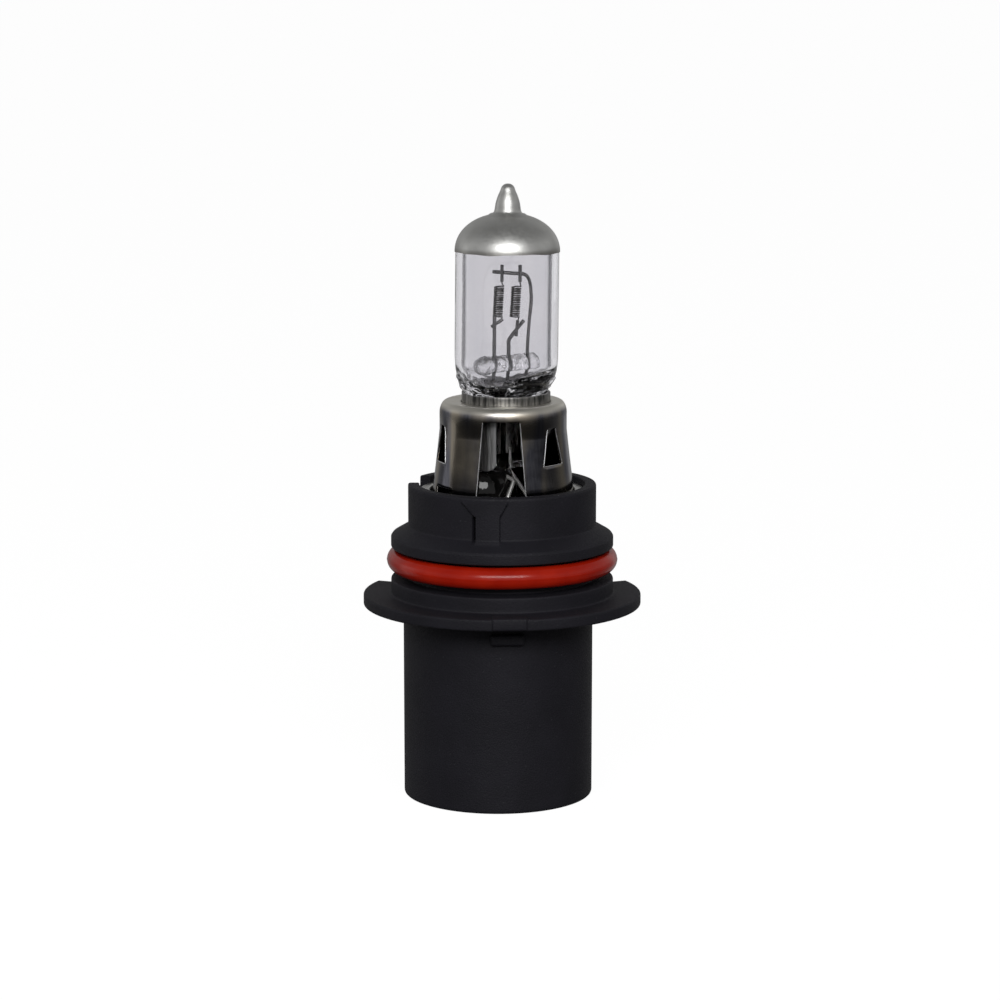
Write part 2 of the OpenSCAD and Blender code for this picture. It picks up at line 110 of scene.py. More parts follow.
def make_mesh(name, verts, faces, place=None, sharp=30):
    """A mesh object from millimetre points, with outward normals and crisp edges kept crisp."""
    mesh = bpy.data.meshes.new(name)
    place = place or Matrix.Identity(4)
    mesh.from_pydata([place @ Vector(v) * MM for v in verts], [], faces)
    obj = bpy.data.objects.new(name, mesh)
    bpy.context.scene.collection.objects.link(obj)
    tidy_mesh(obj, sharp)
    return obj


def tidy_mesh(obj, sharp=30):
    bm = bmesh.new()
    bm.from_mesh(obj.data)
    bmesh.ops.remove_doubles(bm, verts=bm.verts, dist=1e-7)
    bmesh.ops.recalc_face_normals(bm, faces=bm.faces)
    bm.to_mesh(obj.data)
    bm.free()
    obj.data.shade_smooth()
    obj.data.set_sharp_from_angle(angle=math.radians(sharp))


def apply_modifiers(obj):
    deps = bpy.context.evaluated_depsgraph_get()
    mesh = bpy.data.meshes.new_from_object(obj.evaluated_get(deps))
    obj.modifiers.clear()
    obj.data = mesh


def soften(obj, width, segments=2, angle=40, thickness=None, sharp=30):
    """Gives sheet its thickness, if asked, and rounds every edge by width millimetres."""
    if thickness:
        solid = obj.modifiers.new("sheet", "SOLIDIFY")
        solid.thickness = thickness * MM
        solid.offset = -1
        solid.use_even_offset = True
    bevel = obj.modifiers.new("edges", "BEVEL")
    bevel.width = width * MM
    bevel.segments = segments
    bevel.limit_method = "ANGLE"
    bevel.angle_limit = math.radians(angle)
    bevel.harden_normals = False
    apply_modifiers(obj)
    obj.data.shade_smooth()
    obj.data.set_sharp_from_angle(angle=math.radians(sharp))


def join(name, pieces):
    """Joins several mesh objects into one."""
    bm = bmesh.new()
    for piece in pieces:
        bm.from_mesh(piece.data)
    mesh = bpy.data.meshes.new(name)
    bm.to_mesh(mesh)
    bm.free()
    for piece in pieces:
        bpy.data.objects.remove(piece)
    obj = bpy.data.objects.new(name, mesh)
    bpy.context.scene.collection.objects.link(obj)
    return obj


def smoothstep(low, high, x):
    t = min(max((x - low) / (high - low), 0), 1)
    return t * t * (3 - 2 * t)


def between(low, high, edge, x):
    """1 from low to high, falling to 0 over edge on either side."""
    return smoothstep(low - edge, low, x) * (1 - smoothstep(high, high + edge, x))


def curve_value(table, z):
    """Reads a value from (z, value) pairs that rise in z, straight from one to the next."""
    if z <= table[0][0]:
        return table[0][1]
    for (z0, v0), (z1, v1) in zip(table, table[1:]):
        if z <= z1:
            t = (z - z0) / (z1 - z0)
            return v0 + (v1 - v0) * t
    return table[-1][1]


def fillet(points, steps=4):
    """Rounds the corners of an outline. A point (r, z, radius) is rounded; (r, z) stays sharp."""
    out = []
    for i, p in enumerate(points):
        here = Vector(p[:2])
        if len(p) < 3 or i in (0, len(points) - 1):
            out.append(here)
            continue
        before = Vector(points[i - 1][:2]) - here
        after = Vector(points[i + 1][:2]) - here
        half = before.angle(after) / 2
        reach = min(p[2] / math.tan(half), before.length * 0.49, after.length * 0.49)
        start = here + before.normalized() * reach
        end = here + after.normalized() * reach
        for k in range(steps + 1):
            t = k / steps
            out.append(start * (1 - t) ** 2 + here * 2 * t * (1 - t) + end * t**2)
    return out


def dense(points, step):
    """Adds points to an outline's long stretches, so that it can be bent and bumped."""
    out = [points[0]]
    for a, b in zip(points, points[1:]):
        n = max(1, math.ceil((b - a).length / step))
        out += [a + (b - a) * k / n for k in range(1, n + 1)]
    return out


def ring_grid(rows, angles, closed_ends=(True, True)):
    """Faces between closed rings of points, with a cap or a pole at either end."""
    n = len(angles)
    verts, faces, starts = [], [], []
    for row in rows:
        starts.append(len(verts))
        verts += row
    for i in range(len(rows) - 1):
        a, b = starts[i], starts[i + 1]
        pole_a, pole_b = len(rows[i]) == 1, len(rows[i + 1]) == 1
        for k in range(n):
            j = (k + 1) % n
            if pole_a:
                faces.append((a, b + j, b + k))
            elif pole_b:
                faces.append((a + k, a + j, b))
            else:
                faces.append((a + k, a + j, b + j, b + k))
    for end, row in ((0, rows[0]), (-1, rows[-1])):
        if closed_ends[end] and len(row) > 1:
            start = starts[end]
            faces.append(tuple(range(start, start + n)))
    return verts, faces


def even_angles(count):
    return [2 * math.pi * k / count for k in range(count)]


def lathe(name, outline, angles=None, place=None, warp=None, loop=False, sharp=30):
    """Revolves an outline of (r, z) points. warp(r, angle, z) may move a point.

    Angle 0 faces the front (-Y), and a positive angle goes towards +X.
    """
    angles = angles or even_angles(192)
    warp = warp or (lambda r, a, z: Vector((r * math.sin(a), -r * math.cos(a), z)))
    rows = []
    for r, z in outline:
        on_axis = r < 1e-6
        rows.append([warp(r, a, z) for a in (angles[:1] if on_axis else angles)])
    verts, faces = ring_grid(rows, angles, (not loop, not loop))
    if loop:
        n, last = len(angles), len(verts) - len(angles)
        for k in range(n):
            j = (k + 1) % n
            faces.append((last + k, last + j, j, k))
    return make_mesh(name, verts, faces, place, sharp)


def smooth_path(points, step):
    """A smooth curve through the points, sampled about every step millimetres."""
    pts = [Vector(p) for p in points]
    ext = [pts[0] * 2 - pts[1], *pts, pts[-1] * 2 - pts[-2]]
    path = [pts[0]]
    for i in range(1, len(ext) - 2):
        p0, p1, p2, p3 = ext[i - 1 : i + 3]
        n = max(1, round((p2 - p1).length / step))
        for k in range(1, n + 1):
            t = k / n
            path.append(
                0.5
                * (
                    2 * p1
                    + (p2 - p0) * t
                    + (2 * p0 - 5 * p1 + 4 * p2 - p3) * t**2
                    + (3 * p1 - p0 - 3 * p2 + p3) * t**3
                )
            )
    return path


def sweep(name, path, radius, sides=14, place=None, shape=None):
    """A round bar along a path. radius is a number, or a function of the share of its length.

    shape may change each ring of points.
    """
    size = radius if callable(radius) else (lambda share: radius)
    rows = []
    normal = None
    for i, point in enumerate(path):
        ahead = path[min(i + 1, len(path) - 1)]
        behind = path[max(i - 1, 0)]
        tangent = (ahead - behind).normalized()
        if normal is None:
            normal = tangent.orthogonal().normalized()
        normal = (normal - tangent * normal.dot(tangent)).normalized()
        side = tangent.cross(normal)
        r = size(i / (len(path) - 1))
        rows.append(
            [point + r * (math.cos(a) * normal + math.sin(a) * side) for a in even_angles(sides)]
        )
    if shape:
        rows = [shape(row) for row in rows]
    first, last = path[0], path[-1]
    start_cap = [first + (p - first) * 0.6 - (path[1] - first).normalized() * size(0) * 0.3
                 for p in rows[0]]
    end_cap = [last + (p - last) * 0.6 + (last - path[-2]).normalized() * size(1) * 0.3
               for p in rows[-1]]
    verts, faces = ring_grid([start_cap, *rows, end_cap], even_angles(sides))
    return make_mesh(name, verts, faces, place, sharp=50)


def finished(obj, material, slot, *nodes):
    """Puts a finished piece on the bulb's one body, in place of its CAD nodes."""
    obj.data.materials.append(material)
    if nodes:
        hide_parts(*nodes)
    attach(obj, "root")
    return obj


# ---- Glass burner ----

TUBE_R = 7.5
WALL = 1.0
DOME_Z = coating_low.z
DOME_H = 5.5
DOME_POWER = 2.13
TIP_TOP_Z = glass_high.z
TIP_END_R = 0.95
PINCH_BOTTOM_Z = glass_low.z
PINCH_HALF_W = 5.9
PINCH_HALF_T = 1.9

# Half-width, half-thickness and squareness of the glass outside, by height.
GLASS_WIDTH = [(28.2, 5.9), (29.3, 5.95), (29.7, 6.25), (30.1, 6.62), (30.7, 6.97), (31.6, 7.2),
               (33.3, 7.4), (35, TUBE_R)]
GLASS_DEPTH = [(28.2, 1.9), (28.7, 2.1), (29.1, 2.8), (29.5, 3.8), (30, 4.9), (30.6, 5.8),
               (31.4, 6.6), (32.4, 7.1), (33.5, 7.4), (35, TUBE_R)]
GLASS_SQUARE = [(28.2, 5), (29.2, 3), (30, 2.3), (31, 2)]
CAVITY_WIDTH = [(29.95, 0.4), (30.05, 3), (30.3, 4.7), (30.8, 5.7), (31.5, 6.15), (32.6, 6.4), (34, 6.5)]
CAVITY_DEPTH = [(29.95, 0.3), (30.05, 1.1), (30.3, 2.2), (30.8, 3.7), (31.5, 5.1), (32.6, 6.1), (34, 6.5)]
FLOOR_LOW_TURN = math.radians(-18)
FLOOR_LIFT = 1.3
BUBBLES = 26


def ramp(table, z):
    """Reads a table of (z, value) pairs with rounded joints between its stretches."""
    if z <= table[0][0]:
        return table[0][1]
    if z >= table[-1][0]:
        return table[-1][1]
    i = max(k for k in range(len(table) - 1) if table[k][0] <= z)
    (z0, v0), (z1, v1) = table[i], table[i + 1]

    def slope(k):
        if k <= 0 or k >= len(table) - 1:
            return 0
        (za, va), (zb, vb), (zc, vc) = table[k - 1], table[k], table[k + 1]
        left, right = (vb - va) / (zb - za), (vc - vb) / (zc - zb)
        return 0 if left * right <= 0 else 2 * left * right / (left + right)

    t = (z - z0) / (z1 - z0)
    m0, m1 = slope(i) * (z1 - z0), slope(i + 1) * (z1 - z0)
    return (
        v0 * (2 * t**3 - 3 * t**2 + 1)
        + m0 * (t**3 - 2 * t**2 + t)
        + v1 * (3 * t**2 - 2 * t**3)
        + m1 * (t**3 - t**2)
    )


def power_wave(wave, square):
    return math.copysign(abs(wave) ** (2 / square), wave)


def section_ring(width, depth, square, z, angles, folds=0.0):
    """One closed ring of the burner's section, squared off where the pinch flattens it."""
    row = []
    for a in angles:
        x = width * power_wave(math.cos(a), square)
        y = depth * power_wave(math.sin(a), square)
        p = Vector((x, y, z))
        if folds:
            out = Vector((x, y, 0)).normalized()
            swirl = noise.noise(Vector((x * 0.55, y * 0.8, z * 0.7)))
            crease = noise.noise(Vector((x * 2.1, y * 1.6 + 5, z * 1.7)))
            p += out * folds * (0.34 * swirl + 0.22 * crease)
            p.z += folds * 0.2 * crease
        row.append(p)
    return row


def lift_floor(row):
    """Raises the cavity's floor towards the sides, so that it falls to the front."""
    for p in row:
        flat = Matrix.Rotation(PINCH_TURN, 3, "Z") @ p
        turn = math.atan2(flat.x, -flat.y) - FLOOR_LOW_TURN
        share = smoothstep(0, 4.5, math.hypot(p.x, p.y)) * (1 - smoothstep(30.4, 33.8, p.z))
        p.z += FLOOR_LIFT * math.sin(turn) ** 2 * share
    return row


def dome_outline(proud, radius=TUBE_R, height=DOME_H, steps=26):
    """The rounded dome, from its rim up to where the nipple leaves it."""
    points = []
    for k in range(steps + 1):
        a = math.pi / 2 * k / steps
        r = (radius + proud) * max(math.cos(a), 0) ** (2 / DOME_POWER)
        z = DOME_Z + (height + proud) * math.sin(a) ** (2 / DOME_POWER)
        points.append(Vector((r, z)))
    return points


def nipple_outline(proud):
    """The tipped-off nipple: a fillet out of the dome, a slim cone and a round end."""
    end_z = TIP_TOP_Z - TIP_END_R - 0.04
    end_r = TIP_END_R + proud
    side = [
        (2.4, 55.42), (2.05, 55.5), (1.86, 55.7), (1.78, 56.0), (1.72, 56.4), (1.65, 56.85),
        (1.54, 57.3), (1.4, 57.75), (1.23, 58.2), (1.06, 58.55),
    ]
    side = [Vector((r + proud, z + proud * 0.3)) for r, z in side]
    cap = [Vector((end_r * math.cos(a) ** 0.9, end_z + end_r * math.sin(a)))
           for a in (math.radians(d) for d in (12, 25, 38, 50, 61, 71, 80))]
    return [*side, *cap, Vector((0, end_z + end_r))]


def cap_outline(proud):
    dome = [p for p in dome_outline(proud) if p.x > 2.7]
    return dome + nipple_outline(proud)


def build_glass():
    angles = even_angles(160)
    rows = []
    for z in (PINCH_BOTTOM_Z, PINCH_BOTTOM_Z + 0.08, PINCH_BOTTOM_Z + 0.25, PINCH_BOTTOM_Z + 0.5):
        inset = 0.4 * (1 - (z - PINCH_BOTTOM_Z) / 0.5) ** 2
        rows.append(slab_ring(z, angles, inset))
    z = PINCH_BOTTOM_Z + 0.9
    while z < 28.2:
        rows.append(slab_ring(z, angles, 0))
        z += 0.35
    z = 28.2
    while z < 35:
        folds = between(28.9, 31.6, 0.8, z)
        rows.append(
            section_ring(ramp(GLASS_WIDTH, z), ramp(GLASS_DEPTH, z), ramp(GLASS_SQUARE, z), z, angles, folds)
        )
        z += 0.12
    for z in [35 + 1.0 * k for k in range(int(DOME_Z - 35))]:
        rows.append(section_ring(TUBE_R, TUBE_R, 2, z, angles))
    for r, z in cap_outline(0):
        rows.append([Vector((0, 0, z))] if r < 1e-6 else section_ring(r, r, 2, z, angles))
    verts, faces = ring_grid(rows, angles)
    outside = make_mesh("glass_outside", verts, faces, PINCH, sharp=60)

    rows = []
    z = CAVITY_WIDTH[0][0]
    while z < 34:
        folds = between(30.6, 31.6, 0.6, z)
        rows.append(lift_floor(
            section_ring(ramp(CAVITY_WIDTH, z), ramp(CAVITY_DEPTH, z), 2, z, angles, folds)
        ))
        z += 0.05 if z < 30.4 else 0.15
    bore = TUBE_R - WALL
    for z in [34 + 1.0 * k for k in range(int(DOME_Z - 34))]:
        rows.append(section_ring(bore, bore, 2, z, angles))
    for r, z in dome_outline(0, bore, DOME_H - 1.15 * WALL):
        rows.append([Vector((0, 0, z))] if r < 1e-3 else section_ring(r, r, 2, z, angles))
    verts, faces = ring_grid(rows, angles)
    inside = make_mesh("glass_inside", verts, faces, PINCH, sharp=60)
    inside.data.flip_normals()
    outside_count = len(outside.data.polygons)
    glass = join("glass_envelope_clear", [outside, inside])
    for face in glass.data.polygons[outside_count:]:
        face.material_index = 1
    glass.data.shade_smooth()
    glass.data.set_sharp_from_angle(angle=math.radians(60))
    return glass


def slab_ring(z, angles, inset):
    """A ring of the flat pinch seal: thick beads at both edges and shallow pressed ribs between."""
    row = []
    for a in angles:
        x = (PINCH_HALF_W - inset) * power_wave(math.cos(a), 5)
        y = (PINCH_HALF_T - inset) * power_wave(math.sin(a), 5)
        share = abs(x) / PINCH_HALF_W
        dip = 0.5 * (1 - smoothstep(0.62, 0.8, share)) * smoothstep(PINCH_BOTTOM_Z, 20, z)
        dip *= 1 - smoothstep(26.6, 28.2, z)
        rib = 0.16 * math.cos(x * 2.9) * (1 - smoothstep(0.5, 0.7, share))
        lumps = 0.35 * (1 - smoothstep(19, 22, z)) * noise.noise(Vector((x * 1.3, y, z * 1.2)))
        scale = 1 - (dip - rib * (1 - smoothstep(26, 28, z)) + lumps * 0.6) / PINCH_HALF_T
        row.append(Vector((x, y * scale, z)))
    return row


def build_coating():
    """The silver skin over dome and nipple, with a slightly wavy lower edge."""
    skin = coating_high.x - (tip_x + TUBE_R)
    outer = [p for p in dense(cap_outline(skin), 0.6)]
    inner = [p for p in dense(cap_outline(0.004), 0.6)]
    outline = list(reversed(inner)) + [Vector((TUBE_R + skin * 0.7, DOME_Z))] + outer
    start_z = DOME_Z

    def warp(r, a, z):
        edge = 1 - smoothstep(start_z, start_z + 1.2, z)
        wave = 0.09 * math.sin(2 * a + 1) + 0.05 * math.sin(5 * a) + 0.03 * math.sin(11 * a + 2)
        return Vector((r * math.sin(a), -r * math.cos(a), z + edge * (wave + 0.17)))

    outline[0].x = 0
    outline[-1].x = 0
    return lathe("tip_coating_silver", outline, even_angles(192), BURNER, warp, sharp=60)


def build_bridge():
    """The clear glass bar that spaces the posts, with melted, rounded ends and soft waists."""
    low, high = box_mm("glass_bridge")
    length = (high.x - low.x) / math.cos(PINCH_TURN) - 2
    middle = PINCH.inverted() @ ((low + high) / 2)
    r = (high.z - low.z) / 2 * 0.97

    def size(share):
        end = min(share, 1 - share) * length
        cap = math.sqrt(max(1 - (1 - min(end / (r * 0.8), 1)) ** 2, 0.02))
        return r * cap * (1 - 0.05 * math.sin(share * 19) ** 2)

    def melt(row):
        lumps = [noise.noise(p * 1.1) + 0.6 * noise.noise(p * 2.6) for p in row]
        centre = sum(row, Vector()) / len(row)
        return [centre + (p - centre) * (0.93 + 0.13 * lump) for p, lump in zip(row, lumps)]

    path = [Vector((middle.x + (k / 60 - 0.5) * length, 0, middle.z)) for k in range(61)]
    bar = sweep("glass_bridge_body", path, size, 40, PINCH, melt)
    return join("glass_bridge_clear", [bar, *build_bubbles(middle, length, r)])


def build_bubbles(middle, length, r):
    """Small bubbles caught in the bridge, most of them towards its left end."""
    draw = random.Random(7)
    bubbles = []
    for k in range(BUBBLES):
        x = middle.x + length * (0.42 - 0.84 * draw.random() ** 0.6)
        turn, reach = draw.uniform(0, 2 * math.pi), r * 0.62 * math.sqrt(draw.random())
        centre = Vector((x, reach * math.cos(turn), middle.z + reach * math.sin(turn)))
        size = draw.uniform(0.09, 0.22)
        outline = [
            Vector((size * math.sin(a), -size * math.cos(a))) for a in (math.pi * i / 8 for i in range(9))
        ]
        outline[0].x = outline[-1].x = 0
        bubble = lathe(f"bubble_{k}", outline, even_angles(12), PINCH @ Matrix.Translation(centre))
        bubble.data.flip_normals()
        bubbles.append(bubble)
    return bubbles


# ---- Filaments and posts, in the burner's own upright frame ----

COIL_R = 0.64
COIL_WIRE_R = 0.1
COIL_TURNS = 17
FILAMENT_Y = -0.3
COIL_TOP_Z = 45
COIL_BOTTOM_Z = 40.6
LEG_TUBE_R = 0.25
POST_R = 0.27
LOW_POST = -2.15
HIGH_POST = 0.38
COMMON_POST = 3.85
POST_FOOT_Z = 26.4
TOP_TUBE_Z = (45.7, 48.05)
LOW_TUBE = (Vector((-0.62, FILAMENT_Y, 40.2)), Vector((-2.15, -0.85, 39.2)))
HIGH_TUBE = (Vector((1.58, FILAMENT_Y, 40.05)), Vector((1.36, FILAMENT_Y, 37.85)))


def on_pinch(s, z):
    """A place s millimetres along the pinch's width, in the burner's frame."""
    return Vector((s * math.cos(PINCH_TURN), s * math.sin(PINCH_TURN), z))


def build_coil(name, top_x, bottom_x, leg_x, lower_tube):
    """A coil with a straight leg up into its top tube and another into its lower tube."""
    steps = COIL_TURNS * 24
    path = [Vector((leg_x, FILAMENT_Y, COIL_TOP_Z + h)) for h in (2.2, 1.4, 0.7)]
    path.append(Vector((leg_x + 0.04, FILAMENT_Y, COIL_TOP_Z + 0.35)))
    for k in range(steps + 1):
        t = k / steps
        a = 2 * math.pi * COIL_TURNS * t
        r = COIL_R * (1 + 0.02 * math.sin(a * 0.37))
        x = top_x + (bottom_x - top_x) * t + r * math.cos(a)
        z = COIL_TOP_Z + (COIL_BOTTOM_Z - COIL_TOP_Z) * (t + 0.004 * math.sin(a * 0.21))
        path.append(Vector((x, FILAMENT_Y + r * math.sin(a), z)))
    start, end = lower_tube
    path += [start.lerp(end, 0.05), start.lerp(end, 0.4), start.lerp(end, 0.8)]
    return sweep(name, path, COIL_WIRE_R, 10, BURNER)


def build_leg_tube(name, a, b):
    """A drawn tube with a rolled mouth, squeezed a little where it is welded."""
    axis = b - a
    path = [a + axis * k / 24 for k in range(25)]

    def size(share):
        squeeze = 0.12 * math.exp(-(((share - 0.5) / 0.12) ** 2))
        mouth = 0.06 * math.exp(-((min(share, 1 - share) / 0.03) ** 2))
        return LEG_TUBE_R * (1 - squeeze + mouth)

    return sweep(name, path, size, 20, BURNER)


def build_posts():
    """The three posts: plain, cranked, and hooped over to the cross bar."""
    bar_y = FILAMENT_Y + LEG_TUBE_R + POST_R - 0.02
    low = [on_pinch(LOW_POST, z) for z in (POST_FOOT_Z, 30, 33, 36, 38.5, 40.8)]
    high = [on_pinch(HIGH_POST, z) for z in (POST_FOOT_Z, 30, 33, 36, 37)]
    high += [Vector((0.62, 0.24, 37.6)), Vector((1.5, 0.27, 38.8)), Vector((2.45, 0.3, 40))]
    common = [on_pinch(COMMON_POST, z) for z in (POST_FOOT_Z, 30, 34, 36)]
    common += [
        Vector((3.33, 2.27, 39.4)), Vector((3.6, 2.22, 42.6)), Vector((3.56, 1.9, 44)),
        Vector((3.43, 1.5, 45.1)), Vector((3.08, 0.9, 46.1)), Vector((2.35, bar_y, 46.75)),
        Vector((0.6, bar_y, 46.86)), Vector((-2.05, bar_y, 47.05)),
    ]
    return [
        sweep("low_beam_post", smooth_path(low, 0.5), POST_R, 20, BURNER),
        sweep("high_beam_post", smooth_path(high, 0.2), POST_R, 20, BURNER),
        sweep("common_post", smooth_path(common, 0.2), POST_R, 20, BURNER),
    ]


def build_foil(name, s):
    """A feather-edged foil, crimped in faint waves."""
    low_z, high_z, half = 20.6, 27.2, 0.8
    rows = []
    for i in range(23):
        z = low_z + (high_z - low_z) * i / 22
        wave = 0.02 * math.sin(z * 5)
        front = [Vector((s + half * (k / 6 - 1), wave - 0.045 * (1 - (k / 6 - 1) ** 2), z)) for k in range(13)]
        back = [Vector((p.x, 2 * wave - p.y, z)) for p in reversed(front[1:-1])]
        rows.append(front + back)
    verts, faces = ring_grid(rows, rows[0])
    return make_mesh(name, verts, faces, PINCH)


LEAD_R = 0.3


def bent_wire(points, reach=0.45):
    """Straight runs with a short round bend at each point between."""
    path = [points[0]]
    for before, here, after in zip(points, points[1:], points[2:]):
        start = here + (before - here).normalized() * reach
        end = here + (after - here).normalized() * reach
        for k in range(7):
            t = k / 6
            path.append(start * (1 - t) ** 2 + here * 2 * t * (1 - t) + end * t**2)
    return [*path, points[-1]]


def build_outer_leads():
    """The wires from the pinch to the blades. Their lower runs are inside the potting."""

    def start(s):
        return [BURNER @ on_pinch(s, z) for z in (21.4, 18.4)]

    low = start(LOW_POST) + [Vector((1.7, -4.2, 17.2)), Vector((0.75, -6, 14.9)), Vector((0.4, -6.6, 11))]
    high = start(HIGH_POST) + [Vector((3.6, -5, 15.2)), Vector((4.6, -5.2, 12))]
    common = start(COMMON_POST) + [Vector((5, 3, 13.5)), Vector((6.2, 1.5, 9.5))]
    return [
        sweep("low_beam_wire", bent_wire(low), LEAD_R, 20),
        sweep("high_beam_wire", bent_wire(high), LEAD_R, 20),
        sweep("common_wire", bent_wire(common), LEAD_R, 20),
    ]


# ---- Metalwork ----

SHEET = 0.4
CLIP_R = (clip_high.x - clip_low.x) / 2
CLIP_FLOOR_Z = 26.4
CLIP_LEG_TURNS = (math.radians(-29), math.radians(151))
CLIP_LEG_HALF = math.radians(16)
SLEEVE_X = (sleeve_low.x + sleeve_high.x) / 2
SLEEVE_TOP_R = 9.25
SLEEVE_CORNER_W = 1.0
SLEEVE_CORNER_H = 1.75
# The sleeve's outer radius by height, from its foot to the start of its rounded corner.
SLEEVE_LINE = [(12.9, 10.31), (16.3, 10.15), (24.2, SLEEVE_TOP_R), (26.6, SLEEVE_TOP_R)]


def round_point(r, a, z, centre_x=0.0):
    """A point r from an upright axis at centre_x. Angle 0 faces the front."""
    return Vector((centre_x + r * math.sin(a), -r * math.cos(a), z))


def open_sheet(name, rows, gone=lambda i, k: False, closed=True):
    """A sheet without thickness from rows of points. gone(i, k) leaves a face out."""
    n = len(rows[0])
    faces = []
    for i in range(len(rows) - 1):
        for k in range(n if closed else n - 1):
            j = (k + 1) % n
            if not gone(i, k):
                faces.append((i * n + k, i * n + j, (i + 1) * n + j, (i + 1) * n + k))
    obj = make_mesh(name, [p for row in rows for p in row], faces)
    bm = bmesh.new()
    bm.from_mesh(obj.data)
    loose = [v for v in bm.verts if not v.link_faces]
    bmesh.ops.delete(bm, geom=loose, context="VERTS")
    bm.to_mesh(obj.data)
    bm.free()
    return obj


def build_clip():
    """The clip's collar with its slotted floor, and the two legs that reach down the pinch."""
    angles = even_angles(144)
    half_w, half_t, square = PINCH_HALF_W + 0.25, PINCH_HALF_T + 0.25, 6
    slot_row, rows = [], []
    for a in angles:
        along = math.sin(a) * math.cos(PINCH_TURN) - math.cos(a) * math.sin(PINCH_TURN)
        across = math.sqrt(max(1 - along**2, 0))
        r = (abs(along / half_w) ** square + abs(across / half_t) ** square) ** (-1 / square)
        slot_row.append(r)
    for share in (0, 0.35, 0.7, 1):
        rows.append([round_point(r + (6.02 - r) * share if r < 6.02 else 6.02 + 0.02 * share, a,
                                 CLIP_FLOOR_Z, burner_x) for r, a in zip(slot_row, angles)])
    line = [(6.2, 26.41), (6.36, 26.5), (6.45, 26.66), (CLIP_R, 26.9)]
    line += [(CLIP_R, 27.2 + 0.3 * k) for k in range(8)] + [(CLIP_R, clip_high.z)]
    for r, z in line:
        crimp = 0.05 * smoothstep(27.2, 29, z)
        rows.append([
            round_point(r - crimp * (0.5 + 0.5 * math.sin(a * 16 + 0.8 * math.sin(a * 3))), a, z, burner_x)
            for a in angles
        ])
    collar = open_sheet("clip_collar", rows)
    soften(collar, 0.06, thickness=SHEET)
    parts = [collar]
    for turn in CLIP_LEG_TURNS:
        leg_rows = []
        corner = 1.3
        for i in range(28):
            z = 26.75 + (clip_low.z - 26.75) * i / 27
            low = max(clip_low.z + corner - z, 0) / corner
            half = CLIP_LEG_HALF - corner / CLIP_R * (1 - math.sqrt(max(1 - low**2, 0)))
            leg_rows.append([
                round_point(CLIP_R - 0.02, turn + half * (k / 8 - 1), z, burner_x) for k in range(17)
            ])
        leg = open_sheet(f"clip_leg_{len(parts)}", leg_rows, closed=False)
        face_outwards(leg, burner_x)
        soften(leg, 0.06, thickness=SHEET)
        parts.append(leg)
    return join("burner_clip_sheet", parts)


def face_outwards(obj, centre_x):
    """Turns a curved open sheet so that its faces look away from the axis."""
    middle = sum((v.co for v in obj.data.vertices), Vector()) / len(obj.data.vertices)
    out = Vector((middle.x - centre_x * MM, middle.y, 0))
    if sum((p.normal for p in obj.data.polygons), Vector()).dot(out) < 0:
        obj.data.flip_normals()


# Each opening in the sleeve: turn, lower and upper height, width at each.
FRONT_WINDOW = (-1.8, 11.9, 26.4, 7.8, 5.35)
SMALL_WINDOWS = [(turn, 19.8, 25.1, 4.1, 1.7) for turn in (-71, 49)]
SKIRT_GAP = (-59, 11.9, 16.3, 4.2, 4.2)
SEAM_TURN = -150
TAB_LEAN = math.radians(22)
TAB_LENGTH = 4.5
TAB_ROOT_R = 9.2
TAB_ROOT_Z = 25.5
BURR_R = 0.075


def sleeve_radius(z):
    return curve_value(SLEEVE_LINE, z)


def edge_turn(window, side, z):
    """The turn of a window's edge at height z, in degrees."""
    turn, z_low, z_high, w_low, w_high = window
    share = min(max((z - z_low) / (z_high - z_low), 0), 1)
    half = (w_low + (w_high - w_low) * share) / 2
    reach = sleeve_radius(min(max(z, z_low), z_high))
    return turn + side * math.degrees(math.asin(half / reach))


